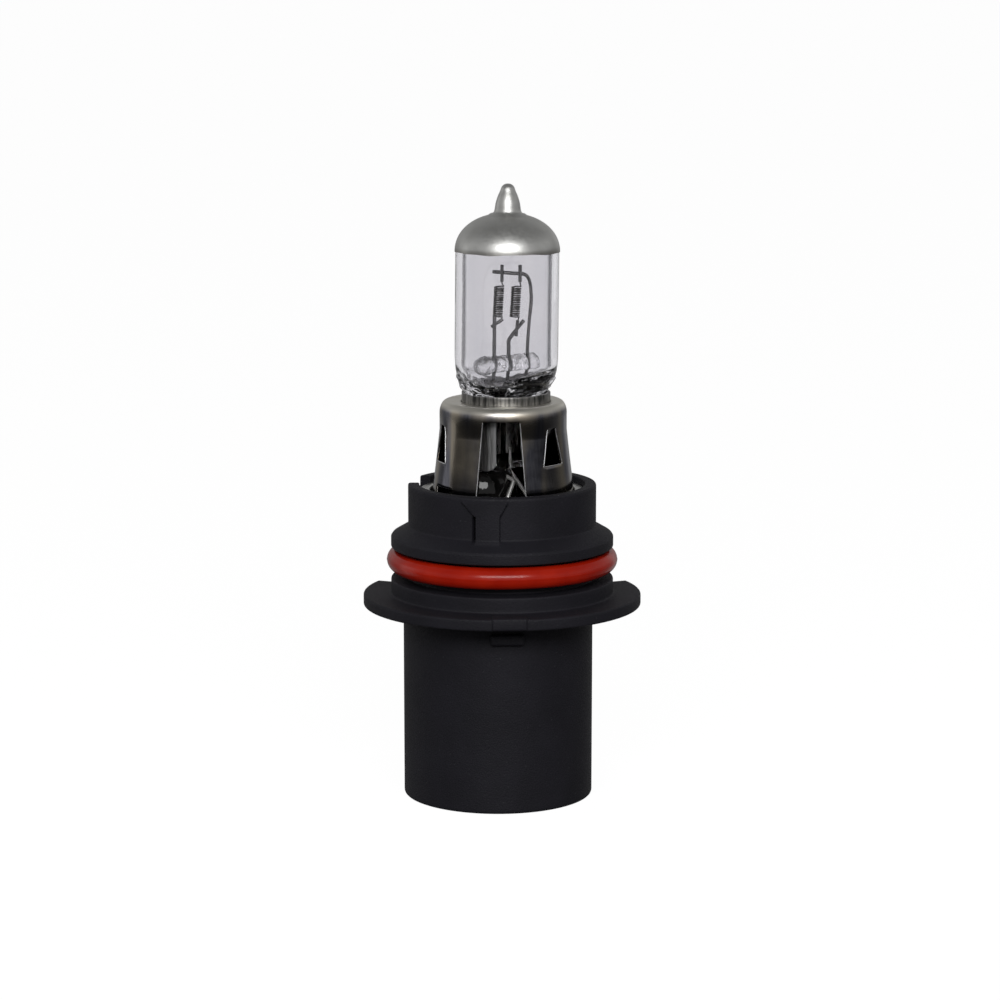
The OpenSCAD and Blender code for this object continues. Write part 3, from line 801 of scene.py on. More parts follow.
def build_sleeve():
    """The pressed sleeve, its columns bent to follow the slanted window edges."""
    left, right = SMALL_WINDOWS
    keys = [
        (left, -1), (SKIRT_GAP, -1), (left, 1), (SKIRT_GAP, 1), (FRONT_WINDOW, -1), (FRONT_WINDOW, 1),
        (right, -1), (right, 1),
    ]
    typical = [SEAM_TURN, *[edge_turn(w, s, (w[1] + w[2]) / 2) for w, s in keys], SEAM_TURN + 360]
    counts = [max(3, round((b - a) / 2.2)) for a, b in zip(typical, typical[1:])]
    starts = [sum(counts[:k]) for k in range(len(counts) + 1)]

    def turns(z):
        marks = [SEAM_TURN, *[edge_turn(w, s, z) for w, s in keys], SEAM_TURN + 360]
        out = []
        for (a, b), n in zip(zip(marks, marks[1:]), counts):
            out += [math.radians(a + (b - a) * k / n) for k in range(n)]
        return out

    def column(window, side):
        return starts[1 + keys.index((window, side))]

    hole_r = CLIP_R + 0.03
    top_z = sleeve_high.z
    corner = Vector((SLEEVE_TOP_R - SLEEVE_CORNER_W, top_z - SLEEVE_CORNER_H))
    rows, heights = [], []
    angles = turns(26.4)
    for share in (0, 0.12, 0.4, 0.7, 1):
        row = []
        for a in angles:
            inner = round_point(hole_r, a, top_z, burner_x)
            outer = round_point(corner.x, a, top_z, SLEEVE_X)
            row.append(inner.lerp(outer, share) - Vector((0, 0, 0.05 * (1 - share) ** 2)))
        rows.append(row)
        heights.append(top_z)
    for k in range(1, 9):
        bend = math.pi / 2 * k / 8
        r = corner.x + SLEEVE_CORNER_W * math.sin(bend)
        z = corner.y + SLEEVE_CORNER_H * math.cos(bend)
        rows.append([round_point(r, a, z, SLEEVE_X) for a in angles])
        heights.append(z)
    levels = [corner.y, 26.4, 25.1, 24.2, 19.8, 16.3, sleeve_low.z]
    for high, low in zip(levels, levels[1:]):
        n = max(1, math.ceil((high - low) / 0.5))
        for k in range(1, n + 1):
            z = high + (low - high) * k / n
            rows.append([round_point(sleeve_radius(z) + sleeve_wave(a, z), a, z, SLEEVE_X) for a in turns(z)])
            heights.append(z)

    def gone(i, k):
        z = (heights[i] + heights[i + 1]) / 2
        return any(
            w[1] < z < w[2] and column(w, -1) <= k < column(w, 1)
            for w in (FRONT_WINDOW, *SMALL_WINDOWS, SKIRT_GAP)
        )

    shell = open_sheet("sleeve_shell", rows, gone)
    soften(shell, 0.13, 3, thickness=SHEET, angle=50)
    parts = [shell]
    for turn, *_ in SMALL_WINDOWS:
        parts.append(build_tab(math.radians(turn)))
    for window in (FRONT_WINDOW, *SMALL_WINDOWS):
        parts.append(build_burr(window))
    return join("retainer_sleeve_sheet", parts)


def build_burr(window):
    """The bright burr that shearing leaves down both sides of an opening and along its sill."""
    low, high = max(window[1], sleeve_low.z + 0.3), window[2] - 0.1

    def edge_point(side, z):
        turn = math.radians(edge_turn(window, side, z))
        return round_point(sleeve_radius(z) - 0.03, turn, z, SLEEVE_X)

    heights = [high + (low - high) * k / 24 for k in range(25)]
    left = [edge_point(-1, z) for z in heights]
    right = [edge_point(1, z) for z in reversed(heights)]
    if window is FRONT_WINDOW:
        burr = join("burr", [sweep("burr_side", line, BURR_R, 8) for line in (left, right)])
    else:
        first, last = edge_turn(window, -1, low), edge_turn(window, 1, low)
        sill = [
            round_point(
                sleeve_radius(low) - 0.03, math.radians(first + (last - first) * k / 10), low, SLEEVE_X
            )
            for k in range(1, 10)
        ]
        burr = sweep("burr", left + sill + right, BURR_R, 8)
    for face in burr.data.polygons:
        face.material_index = 1
    return burr


def sleeve_wave(a, z):
    """Slight out-of-roundness left by forming, largest at the free skirt."""
    amount = 0.03 + 0.05 * (1 - smoothstep(13, 24, z))
    return amount * (noise.noise(Vector((math.sin(a) * 2.2, math.cos(a) * 2.2, z * 0.16))) - 0.2)


def build_tab(turn):
    """A tongue punched inwards, joined at its window's narrow upper edge."""
    rows = []
    for i in range(19):
        t = i / 18
        along = TAB_LENGTH * t
        bend = smoothstep(0, 0.18, t)
        r = TAB_ROOT_R - along * math.sin(TAB_LEAN) * bend
        z = TAB_ROOT_Z - along * math.cos(TAB_LEAN * bend)
        rounding = max(t - 0.9, 0) / 0.1
        half = (0.8 + 0.9 * t) * math.sqrt(1 - 0.25 * rounding**2)
        row = []
        for k in range(9):
            u = half * (k / 4 - 1)
            p = Vector((u, -math.sqrt(max(r * r - u * u * 0.7, 0)), z))
            row.append(Matrix.Rotation(turn, 3, "Z") @ p + Vector((SLEEVE_X, 0, 0)))
        rows.append(row)
    tab = open_sheet("sleeve_tab", rows, closed=False)
    face_outwards(tab, SLEEVE_X)
    soften(tab, 0.06, thickness=SHEET)
    return tab


def build_base_ring():
    """The plated ring in the collar's seat, with a rolled inner lip."""
    low, high = base_ring_low.z, base_ring_high.z
    outer = base_ring_high.x
    outline = fillet([
        (10.52, low + 0.3), (10.52, high + 0.0, 0.45), (11.3, high - 0.06, 0.3),
        (outer, high - 0.16, 0.2), (outer, low, 0.1), (10.9, low, 0.2), (10.52, low + 0.3),
    ])[:-1]
    return lathe("base_ring_rolled", dense(outline, 0.3), even_angles(200), loop=True)


# ---- Base ----

FLANGE_R = housing_high.x
FLANGE_T = 1.7
SHELL_R = 13.83
SHELL_X = -0.6
SHELL_WALL = 1.9
SHELL_END_Z = housing_low.z
COLLAR_R = 13.72
RIM_Z = housing_high.z
LAND_R = 16.24
CUP_R = 11
CUP_FLOOR_Z = 2
SEAT_R = 12.05
SEAT_Z = base_ring_low.z
WEB_BOTTOM_Z = -6
RIM_NOTCH = (-118, -90, 1.5)
PAD_PROUD = 0.4
PAD_TOP_Z = 15.7
PAD_FLARE_Z = 13.45
# The pad's left and right edges in degrees, below its flare and at its top.
PAD_LEFT = (-15.9, -25.1)
PAD_RIGHT = (-1.7, 3.4)
PAD_SLOT = (-17.8, -15.9, 9.9, 13.35, 1.2)
GROOVE_R = ring_high.x - (ring_high.z - ring_low.z)
FLANGE_NOTCHES = ((114, 144), (216, 246))
FLANGE_NOTCH_R = 16.84


def turn_of(a):
    """An angle in degrees from -180 to 180."""
    return (math.degrees(a) + 180) % 360 - 180


def feature_angles(count, edges, gap=0.25):
    """Even angles with extra pairs at the edges of features, all in degrees."""
    marks = sorted({e % 360 for edge in edges for e in (edge - gap, edge, edge + gap)})
    even = [360 * k / count for k in range(count)]
    clear = [e for e in even if all(abs((e - m + 180) % 360 - 180) > 0.5 for m in marks)]
    return [math.radians(d) for d in sorted([*clear, *marks])]


def housing_point(r, a, z):
    """Bends the housing's plain revolved outline into its notches, pad, slot and offset shell."""
    turn = turn_of(a)
    if r > SEAT_R - 0.1 and z > SEAT_Z:
        depth = RIM_NOTCH[2] * between(RIM_NOTCH[0], RIM_NOTCH[1], 0.25, turn)
        z -= depth * (z - SEAT_Z) / (RIM_Z - SEAT_Z)
    if COLLAR_R - 0.02 < r and 9 < z:
        flare = min(max((z - PAD_FLARE_Z) / (PAD_TOP_Z - PAD_FLARE_Z), 0), 1)
        left, right = (low + (high - low) * flare for low, high in (PAD_LEFT, PAD_RIGHT))
        ends = smoothstep(9.5, 10, z) * (1 - smoothstep(PAD_TOP_Z - 0.2, PAD_TOP_Z, z))
        r += PAD_PROUD * between(left, right, 0.6, turn) * ends
        r -= PAD_SLOT[4] * between(PAD_SLOT[0], PAD_SLOT[1], 0.25, turn) * between(PAD_SLOT[2], PAD_SLOT[3], 0.15, z)
    if -FLANGE_T - 0.1 < z < 0.1 and r > FLANGE_NOTCH_R:
        for start, end in FLANGE_NOTCHES:
            share = between(start, end, 0.25, turn % 360)
            r += (FLANGE_NOTCH_R + (r - FLANGE_NOTCH_R) * 0.04 - r) * share
    shift = SHELL_X if z < -FLANGE_T + 0.05 and r < SHELL_R + 0.9 else 0
    return round_point(r, a, z, shift)


def build_housing():
    outline = fillet([
        (0, CUP_FLOOR_Z), (CUP_R, CUP_FLOOR_Z, 0.4), (CUP_R, SEAT_Z, 0.2), (SEAT_R, SEAT_Z, 0.05),
        (SEAT_R + 0.02, RIM_Z, 0.25), (COLLAR_R, RIM_Z, 0.4), (COLLAR_R, 10.05, 0.35), (16.0, 8.72, 0.2),
        (LAND_R, 8.4, 0.25), (LAND_R, 6.95, 0.2), (GROOVE_R, 6.9, 0.3), (GROOVE_R, 2.3, 0.3),
        (LAND_R, 2.3, 0.3), (LAND_R, 0, 0.35), (FLANGE_R, 0, 0.35), (FLANGE_R, -FLANGE_T, 0.3),
        (SHELL_R + 0.03, -FLANGE_T, 0.35), (SHELL_R, SHELL_END_Z, 0.5),
        (SHELL_R - SHELL_WALL, SHELL_END_Z, 0.4), (SHELL_R - SHELL_WALL - 0.15, WEB_BOTTOM_Z, 0.5),
        (0, WEB_BOTTOM_Z),
    ], steps=5)
    edges = [*RIM_NOTCH[:2], *[e for pair in FLANGE_NOTCHES for e in pair]]
    angles = sorted({*feature_angles(216, edges), *[math.radians(k / 2 % 360) for k in range(-56, 13)]})
    angles = [a for i, a in enumerate(angles) if i == 0 or a - angles[i - 1] > math.radians(0.1)]

    def on_collar(p):
        return abs(p.x - COLLAR_R) < 0.02

    line = [outline[0]]
    for a, b in zip(outline, outline[1:]):
        line += dense([a, b], 0.2 if on_collar(a) and on_collar(b) else 0.45)[1:]
    body = lathe("housing_body", line, angles, warp=housing_point)
    return join("base_housing_moulded", [body, *build_front_key()])


def rounded_block(name, low, high, bevel, turn):
    """A moulded block with rounded edges, turned about the base's axis."""
    corners = [(x, y, z) for z in (low[2], high[2]) for y in (low[1], high[1]) for x in (low[0], high[0])]
    faces = [(0, 1, 3, 2), (4, 6, 7, 5), (0, 4, 5, 1), (2, 3, 7, 6), (0, 2, 6, 4), (1, 5, 7, 3)]
    block = make_mesh(name, corners, faces, Matrix.Rotation(turn, 4, "Z"))
    soften(block, bevel, segments=4)
    return block


def build_front_key():
    turn = math.radians(3)
    block = rounded_block(
        "key_block", (-2.5, -FLANGE_R - 0.35, -1.55), (2.5, -FLANGE_R + 2.6, 0.2), 0.3, turn
    )
    lug = rounded_block("key_lug", (-2.4, -SHELL_R - 0.9, -5), (2.4, -SHELL_R + 1, -3.4), 0.35, turn)
    return [block, lug]


def build_o_ring():
    """The seal, with the faint parting line of its mould."""
    section = (ring_high.z - ring_low.z) / 2
    centre = Vector((ring_high.x - section, (ring_low.z + ring_high.z) / 2))
    outline = []
    for k in range(72):
        a = 2 * math.pi * k / 72
        line = 0.03 * math.exp(-((math.sin(a) / 0.05) ** 2)) * (1 if math.cos(a) > 0 else 0)
        outline.append(centre + (section - 0.03 + line) * Vector((math.cos(a), math.sin(a))))

    def warp(r, a, z):
        sway = 0.02 * math.sin(3 * a + 1) + 0.012 * math.sin(7 * a)
        return round_point(r, a, z + sway)

    return lathe("o_ring_moulded", outline, even_angles(256), warp=warp, loop=True)


MOUND = Vector((-3.2, -0.6))
MOUND_R = 5.6
MOUND_H = 6.9
MOUND_POWER = 3.2
POTTING_Z = 12.5


def build_potting():
    """Poured resin: a level pool that climbs the cup's wall, and a drawn-up mound at the pinch."""
    angles = even_angles(160)
    rows = [[Vector((MOUND.x, MOUND.y, POTTING_Z + MOUND_H))]]
    for k in range(1, 23):
        bend = math.pi / 2 * k / 23
        r = MOUND_R * math.sin(bend) ** (2 / MOUND_POWER)
        h = MOUND_H * max(math.cos(bend), 0) ** (2 / MOUND_POWER)
        rows.append([potting_point(r, a, h) for a in angles])
    for k in range(16):
        t = (k / 15) ** 1.2
        row = []
        for a in angles:
            out = Vector((math.sin(a), -math.cos(a)))
            b = MOUND.dot(out)
            wall = -b + math.sqrt(b * b + (CUP_R - 0.02) ** 2 - MOUND.length_squared)
            r = MOUND_R + (wall - MOUND_R) * t
            toe = 0.55 * math.exp(-(r - MOUND_R) / 0.5)
            climb = 0.45 * max(1 - (wall - r) / 0.7, 0) ** 2
            row.append(potting_point(r, a, toe + climb))
        rows.append(row)
    edge = rows[-1]
    rows.append([Vector((p.x, p.y, 12)) for p in edge])
    rows.append([Vector((p.x, p.y, CUP_FLOOR_Z + 0.02)) for p in edge])
    verts, faces = ring_grid(rows, angles)
    return make_mesh("sealing_compound_poured", verts, faces, sharp=60)


def potting_point(r, a, h):
    p = Vector((MOUND.x + r * math.sin(a), MOUND.y - r * math.cos(a), POTTING_Z + h))
    lump = noise.noise(Vector((p.x * 0.35, p.y * 0.35, 3))) + 0.4 * noise.noise(p * 0.9)
    p.z += 0.22 * lump * smoothstep(0.2, 1.5, h + 0.6)
    return p


BLADE_W = 2.8
BLADE_T = 0.8


def build_blade(name, node):
    """A stamped terminal with chamfered, coined end edges."""
    low, high = box_mm(node)
    x = (low.x + high.x) / 2
    half_w, half_t = BLADE_W / 2, BLADE_T / 2
    rows = []
    for z, w, t in (
        (low.z, half_w - 0.85, half_t * 0.4), (low.z + 0.25, half_w - 0.55, half_t * 0.62),
        (low.z + 0.8, half_w - 0.06, half_t * 0.9), (low.z + 1.3, half_w, half_t),
        (-14, half_w, half_t), (-8, half_w, half_t), (0, half_w, half_t), (high.z, half_w, half_t),
    ):
        c = 0.12 * t / half_t
        rows.append([
            Vector((x + dx, dy, z)) for dx, dy in (
                (-t + c, -w), (t - c, -w), (t, -w + c), (t, w - c), (t - c, w), (-t + c, w), (-t, w - c),
                (-t, -w + c),
            )
        ])
    verts, faces = ring_grid(rows, rows[0])
    return make_mesh(name, verts, faces, sharp=25)


# ---- Materials ----

SOCKETS = {
    "color": "Base Color",
    "metallic": "Metallic",
    "roughness": "Roughness",
    "ior": "IOR",
    "clear": "Transmission Weight",
    "gloss": "Specular IOR Level",
    "brushed": "Anisotropic",
}


class Finish:
    """A procedural material: plain values on the shader's own sockets, and varied ones from noise."""

    def __init__(self, name, **values):
        self.material = bpy.data.materials.new(name)
        self.material.use_nodes = True
        self.tree = self.material.node_tree
        self.shader = self.tree.nodes["Principled BSDF"]
        self.height = None
        for key, value in values.items():
            if key == "color":
                value = (*value, 1)
            self.shader.inputs[SOCKETS[key]].default_value = value

    def add(self, kind, **inputs):
        made = self.tree.nodes.new(kind)
        for key, value in inputs.items():
            self.feed(made.inputs[key], value)
        return made

    def feed(self, socket, value):
        if isinstance(value, bpy.types.NodeSocket):
            self.tree.links.new(value, socket)
        else:
            socket.default_value = value

    def noise(self, size, detail=3, stretch=(1, 1, 1), low=0.35, high=0.65):
        """Noise from 0 to 1 with features of about size millimetres, longer along stretched axes."""
        place = self.add("ShaderNodeTexCoord").outputs["Object"]
        scale = [1 / (size * MM * s) for s in stretch]
        mapped = self.add("ShaderNodeMapping", Vector=place, Scale=scale).outputs["Vector"]
        made = self.add("ShaderNodeTexNoise", Vector=mapped, Scale=1.0, Detail=detail)
        return self.span(made.outputs["Fac"], low, high)

    def along(self, axis, low, high):
        """0 at low millimetres to 1 at high along a world axis, for shading that follows height."""
        place = self.add("ShaderNodeTexCoord").outputs["Object"]
        value = self.add("ShaderNodeSeparateXYZ", Vector=place).outputs[axis]
        return self.span(value, low * MM, high * MM)

    def rim(self, blend):
        return self.add("ShaderNodeLayerWeight", Blend=blend).outputs["Facing"]

    def mix(self, fac, a, b):
        made = self.tree.nodes.new("ShaderNodeMix")
        made.data_type = "RGBA"
        self.feed(made.inputs["Factor"], fac)
        for socket, value in ((made.inputs[6], a), (made.inputs[7], b)):
            self.feed(socket, (*value, 1) if isinstance(value, tuple) else value)
        return made.outputs[2]

    def mix_value(self, fac, a, b):
        made = self.tree.nodes.new("ShaderNodeMix")
        self.feed(made.inputs["Factor"], fac)
        self.feed(made.inputs[2], a)
        self.feed(made.inputs[3], b)
        return made.outputs[0]

    def blend(self, fac, low, high):
        return self.add("ShaderNodeMapRange", **{"Value": fac, "To Min": low, "To Max": high}).outputs["Result"]

    def span(self, value, low, high):
        """0 where the value is low or less, to 1 where it is high or more."""
        return self.add(
            "ShaderNodeMapRange", **{"Value": value, "From Min": low, "From Max": high}
        ).outputs["Result"]

    def paint(self, key, value):
        self.feed(self.shader.inputs[SOCKETS[key]], value)
        return self

    def bump(self, height, depth):
        """Adds relief of about depth millimetres on top of what is there."""
        made = self.add("ShaderNodeBump", Height=height, Strength=1.0, Distance=depth * MM)
        if self.height:
            self.feed(made.inputs["Normal"], self.height)
        self.height = made.outputs["Normal"]
        self.feed(self.shader.inputs["Normal"], self.height)
        return self


def make_glass():
    glass = Finish("quartz_glass", ior=1.46, clear=1.0, roughness=0.0)
    haze = glass.noise(5, 2, (1, 1, 2.5))
    body = glass.mix(haze, (0.74, 0.735, 0.765), (0.78, 0.77, 0.795))
    # Painted shade: where the surface is seen edge-on the colour darkens towards (0.5, 0.5, 0.53), drawing dark
    # glass edges.
    glass.paint("color", glass.mix(glass.rim(0.25), body, (0.5, 0.5, 0.53)))
    glass.bump(glass.noise(3.5, 2, (1, 1, 3)), 0.012)
    return glass.material


def make_bore_glass():
    """The wall's inner face, with painted shade that darkens it sharply where it is seen at a grazing angle."""
    glass = Finish("quartz_bore", ior=1.46, clear=1.0, roughness=0.0)
    body = glass.mix(glass.noise(5, 2, (1, 1, 2.5)), (0.75, 0.745, 0.77), (0.79, 0.78, 0.8))
    # Painted shade: near black where the bore is seen edge-on, starting at z 31.5 mm and full from 33.5 mm, drawing
    # dark lines at the wall's inner edge.
    grazing = glass.span(glass.rim(0.5), 0.53, 0.64)
    grazing = glass.mix_value(glass.along("Z", 31.5, 33.5), 0.0, grazing)
    glass.paint("color", glass.mix(grazing, body, (0.02, 0.02, 0.024)))
    return glass.material


def make_bridge_glass():
    glass = Finish("bridge_glass", ior=1.46, clear=1.0, roughness=0.02)
    glass.paint("color", glass.mix(glass.noise(1.2, 2), (0.96, 0.96, 0.97), (1.0, 1.0, 1.0)))
    glass.bump(glass.noise(0.9, 3), 0.09)
    glass.bump(glass.noise(0.3, 2), 0.03)
    return glass.material


def make_silver():
    silver = Finish("silver_coating", metallic=1.0)
    cloud = silver.noise(2.5, 4)
    base = silver.mix(cloud, (0.62, 0.62, 0.6), (0.7, 0.7, 0.68))
    foot = silver.along("Z", DOME_Z - 0.2, DOME_Z + 0.9)
    silver.paint("color", silver.mix(foot, (0.36, 0.34, 0.31), base))
    silver.paint("roughness", silver.blend(silver.noise(0.5, 4), 0.38, 0.46))
    silver.bump(silver.noise(0.16, 3), 0.002)
    silver.bump(cloud, 0.01)
    return silver.material


def make_metal(name, dark, light, rough, grain=0.3, stretch=(1, 1, 1), depth=0.004, **values):
    """Plain metal with streaks or grain in its colour, gloss and relief."""
    metal = Finish(name, metallic=1.0, **values)
    fleck = metal.noise(grain, 4, stretch)
    patch = metal.noise(grain * 9, 3, stretch)
    metal.paint("color", metal.mix(patch, dark, light))
    metal.paint("roughness", metal.blend(fleck, rough - 0.06, rough + 0.08))
    metal.bump(fleck, depth)
    return metal.material


def make_clip_steel():
    """Satin legs under a darker, streaked collar."""
    steel = Finish("clip_steel", metallic=1.0)
    streak = steel.noise(0.35, 4, (1, 1, 9))
    collar = steel.mix(streak, (0.09, 0.089, 0.087), (0.4, 0.39, 0.375))
    leg = steel.mix(steel.noise(1.5, 2, (1, 1, 8)), (0.55, 0.55, 0.56), (0.7, 0.7, 0.7))
    steel.paint("color", steel.mix(steel.along("Z", 26.3, 27.0), leg, collar))
    steel.paint("roughness", steel.blend(streak, 0.34, 0.46))
    steel.bump(streak, 0.02)
    return steel.material


def make_sleeve_steel():
    steel = Finish("sleeve_steel", metallic=1.0, brushed=0.4)
    streak = steel.noise(0.25, 3, (1, 1, 30))
    # Painted reflection: where patch is high the colour turns beige in broad vertical bands that stand in for bright
    # reflections on the polished wall; patch also sets the roughness.
    patch = steel.noise(3.2, 1, (1, 1, 5), 0.4, 0.6)
    plain = steel.mix(streak, (0.12, 0.12, 0.145), (0.18, 0.18, 0.205))
    steel_and_painted_reflections = steel.mix(patch, plain, (0.36, 0.32, 0.26))
    # Painted highlight: from z 27.2 to 28 mm the colour brightens to pale cream over the upper corner and top face.
    steel.paint("color", steel.mix(steel.along("Z", 27.2, 28.0), steel_and_painted_reflections, (0.82, 0.79, 0.71)))
    wall, corner = steel.blend(patch, 0.13, 0.18), steel.blend(patch, 0.28, 0.37)
    steel.paint("roughness", steel.mix_value(steel.along("Z", 25.6, 26.8), wall, corner))
    steel.bump(streak, 0.002)
    steel.bump(steel.noise(2.4, 1), 0.004)
    return steel.material


def make_plastic():
    plastic = Finish("black_plastic", ior=1.5, gloss=0.28)
    grain = plastic.noise(0.22, 5)
    flow = plastic.noise(7, 3)
    body = plastic.mix(flow, (0.0112, 0.0106, 0.0152), (0.0152, 0.0144, 0.0204))
    speck = plastic.noise(0.35, 2, low=0.7, high=0.78)
    plastic.paint("color", plastic.mix(speck, body, (0.04, 0.04, 0.046)))
    plastic.paint("roughness", plastic.blend(grain, 0.56, 0.7))
    plastic.bump(grain, 0.02)
    plastic.bump(flow, 0.02)
    return plastic.material


def make_silicone():
    silicone = Finish("red_silicone", ior=1.42, gloss=0.42)
    bloom = silicone.noise(4, 3)
    silicone.paint("color", silicone.mix(bloom, (0.42, 0.0105, 0.0016), (0.5, 0.0165, 0.0035)))
    silicone.paint("roughness", silicone.blend(silicone.noise(0.4, 4), 0.19, 0.26))
    silicone.bump(silicone.noise(0.9, 2), 0.0006)
    return silicone.material


def make_potting():
    resin = Finish("black_potting", ior=1.5, gloss=0.36)
    cloud = resin.noise(2.5, 3)
    resin.paint("color", resin.mix(cloud, (0.003, 0.003, 0.003), (0.009, 0.008, 0.008)))
    resin.paint("roughness", resin.blend(cloud, 0.04, 0.08))
    resin.bump(cloud, 0.03)
    return resin.material


quartz = make_glass()
quartz_bore = make_bore_glass()
bridge_glass = make_bridge_glass()
silver = make_silver()
tungsten = make_metal("tungsten", (0.045, 0.043, 0.04), (0.11, 0.105, 0.1), 0.42, 0.1)
molybdenum = make_metal("molybdenum", (0.09, 0.09, 0.09), (0.19, 0.187, 0.185), 0.3, 0.08, (1, 1, 25))
foil_metal = make_metal("foil_metal", (0.4, 0.39, 0.37), (0.55, 0.54, 0.52), 0.3, 0.12, (1, 1, 8))
plated_wire = make_metal("plated_wire", (0.85, 0.84, 0.82), (0.95, 0.94, 0.92), 0.5, 0.15)
clip_steel = make_clip_steel()
sleeve_steel = make_sleeve_steel()
sheared_steel = make_metal("sheared_steel", (0.6, 0.6, 0.61), (0.85, 0.85, 0.86), 0.42, 0.4)
plated_ring = make_metal("plated_ring", (0.58, 0.58, 0.56), (0.7, 0.7, 0.68), 0.3, 1.5, (1, 1, 1), 0.003)
black_plastic = make_plastic()
red_silicone = make_silicone()
black_potting = make_potting()
tinned_brass = make_metal("tinned_brass", (0.6, 0.57, 0.5), (0.76, 0.74, 0.68), 0.3, 0.2, (1, 1, 12))

# ---- Assembly ----

envelope = finished(build_glass(), quartz, "quartz_glass", "glass_envelope")
envelope.data.materials.append(quartz_bore)
finished(build_coating(), silver, "silver_coating", "tip_coating")
finished(build_bridge(), bridge_glass, "quartz_glass", "glass_bridge")

for coil_name, xs, leg_x, tube in (
    ("low_beam", (-1.1, -1.32), -0.75, LOW_TUBE),
    ("high_beam", (1.37, 1.12), 1.88, HIGH_TUBE),
):
    coil = build_coil(f"{coil_name}_coil", *xs, leg_x, tube)
    finished(coil, tungsten, "tungsten", f"{coil_name}_filament")
    top_low, top_high = (Vector((leg_x, FILAMENT_Y, z)) for z in TOP_TUBE_Z)
    tubes = [
        build_leg_tube("top_tube", top_low, top_high),
        build_leg_tube("lower_tube", *tube),
    ]
    finished(join(f"{coil_name}_clamp_tubes", tubes), molybdenum, "molybdenum", f"{coil_name}_leg_tubes")

for beam, post in zip(("low_beam", "high_beam", "common"), build_posts()):
    finished(post, molybdenum, "molybdenum", f"{beam}_inner_lead")
for beam, s in (("low_beam", LOW_POST), ("high_beam", HIGH_POST), ("common", COMMON_POST)):
    finished(build_foil(f"{beam}_foil_crimped", s), foil_metal, "molybdenum", f"{beam}_foil")
for beam, wire in zip(("low_beam", "high_beam", "common"), build_outer_leads()):
    finished(wire, plated_wire, "plated_wire", f"{beam}_outer_lead")
    blade = build_blade(f"{beam}_blade", f"{beam}_terminal")
    finished(blade, tinned_brass, "tinned_brass", f"{beam}_terminal")

finished(build_clip(), clip_steel, "clip_steel", "burner_clip")
sleeve = finished(build_sleeve(), sleeve_steel, "sleeve_steel", "retainer_sleeve")
sleeve.data.materials.append(sheared_steel)
finished(build_base_ring(), plated_ring, "plated_ring", "base_ring")
finished(build_housing(), black_plastic, "black_plastic", "base_housing")
finished(build_o_ring(), red_silicone, "red_silicone", "o_ring")
finished(build_potting(), black_potting, "black_potting", "sealing_compound")

# ---- Studio ----


def build_floor():
    """A large pale floor, a little self-lit so that it stays as white as the backdrop."""
    half = 6000
    corners = [(-half, -half, 0), (half, -half, 0), (half, half, 0), (-half, half, 0)]
    place = Matrix.Translation((0, 0, housing_low.z - 0.02))
    floor = make_mesh("floor", corners, [(0, 1, 2, 3)], place)
    paper = Finish("floor_paper", color=(0.12, 0.12, 0.12), roughness=0.9, gloss=0.0)
    paper.bump(paper.noise(0.6, 4), 0.002)
    paper.shader.inputs["Emission Color"].default_value = (1, 1, 1, 1)
    paper.shader.inputs["Emission Strength"].default_value = 0.96
    floor.data.materials.append(paper.material)
    floor.visible_glossy = False
    floor.visible_diffuse = False


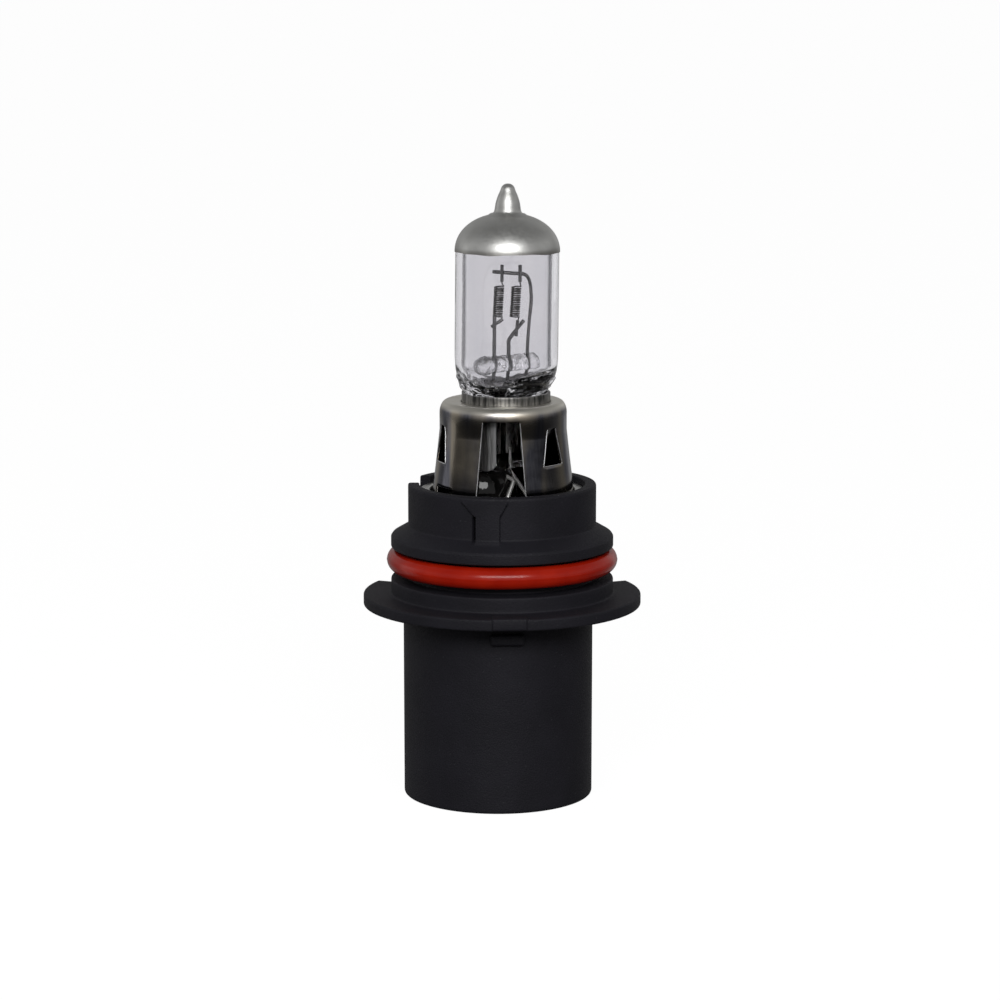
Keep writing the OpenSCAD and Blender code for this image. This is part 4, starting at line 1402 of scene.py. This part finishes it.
def build_world():
    """White all round; reflections see a darker studio, brighter behind the bulb and overhead."""
    world = bpy.data.worlds.new("studio")
    bpy.context.scene.world = world
    world.use_nodes = True
    tree = world.node_tree
    tree.nodes.clear()

    def add(kind, **settings):
        made = tree.nodes.new(kind)
        for key, value in settings.items():
            setattr(made, key, value)
        return made

    def background(strength, source=None):
        made = add("ShaderNodeBackground")
        made.inputs["Color"].default_value = (1, 1, 1, 1)
        made.inputs["Strength"].default_value = strength
        if source:
            tree.links.new(source, made.inputs["Strength"])
        return made.outputs[0]

    def ramp_of(source, stops):
        made = add("ShaderNodeValToRGB")
        elements = made.color_ramp.elements
        while len(elements) < len(stops):
            elements.new(0.5)
        for element, (place, value) in zip(elements, stops):
            element.position = place
            element.color = (value, value, value, 1)
        tree.links.new(source, made.inputs["Fac"])
        return made.outputs["Color"]

    def choose(fac, a, b):
        made = add("ShaderNodeMixShader")
        tree.links.new(fac, made.inputs[0])
        tree.links.new(a, made.inputs[1])
        tree.links.new(b, made.inputs[2])
        return made.outputs[0]

    ray = add("ShaderNodeLightPath").outputs
    direction = add("ShaderNodeTexCoord").outputs["Generated"]
    parts = add("ShaderNodeSeparateXYZ")
    tree.links.new(direction, parts.inputs[0])
    depth = add("ShaderNodeMapRange")
    depth.inputs["From Min"].default_value = -1
    tree.links.new(parts.outputs["Y"], depth.inputs["Value"])
    towards_back = depth.outputs["Result"]

    def combine(operation, a, b):
        made = add("ShaderNodeMath", operation=operation)
        tree.links.new(a, made.inputs[0])
        tree.links.new(b, made.inputs[1])
        return made.outputs[0]

    walls = ramp_of(towards_back, [(0, 0.022), (0.5, 0.04), (0.75, 0.12), (1, 0.3)])
    bank = ramp_of(parts.outputs["Z"], [(0, 0), (0.12, 0.42), (0.35, 0.42), (0.6, 0.16), (1, 0.1)])
    in_front = ramp_of(towards_back, [(0, 1), (0.55, 1), (0.85, 0.35), (1, 0.1)])
    studio = combine("ADD", walls, combine("MULTIPLY", bank, in_front))

    shader = background(0.18)
    shader = choose(ray["Is Glossy Ray"], shader, background(1, studio))
    shader = choose(ray["Is Transmission Ray"], shader, background(1))
    shader = choose(ray["Is Camera Ray"], shader, background(1))
    output = add("ShaderNodeOutputWorld")
    tree.links.new(shader, output.inputs["Surface"])


def add_softbox(name, azimuth, elevation, distance, width, height, power):
    """A soft light that faces the bulb. Azimuth 0 is the front, and positive is towards +X."""
    data = bpy.data.lights.new(name, "AREA")
    data.shape = "RECTANGLE"
    data.size, data.size_y = width * MM, height * MM
    data.energy = power
    light = bpy.data.objects.new(name, data)
    a, e = math.radians(azimuth), math.radians(elevation)
    out = Vector((math.sin(a) * math.cos(e), -math.cos(a) * math.cos(e), math.sin(e)))
    light.location = (Vector((0, 0, 20)) + out * distance) * MM
    light.rotation_euler = out.to_track_quat("Z", "Y").to_euler()
    light.visible_camera = False
    bpy.context.scene.collection.objects.link(light)


build_floor()
build_world()
add_softbox("front_softbox", 1, 27, 600, 480, 180, 1.9)
add_softbox("left_back_card", -108, -4, 600, 260, 500, 0.17)
add_softbox("right_back_card", 150, -6, 600, 160, 500, 0.04)

bpy.context.scene.view_settings.view_transform = "Standard"
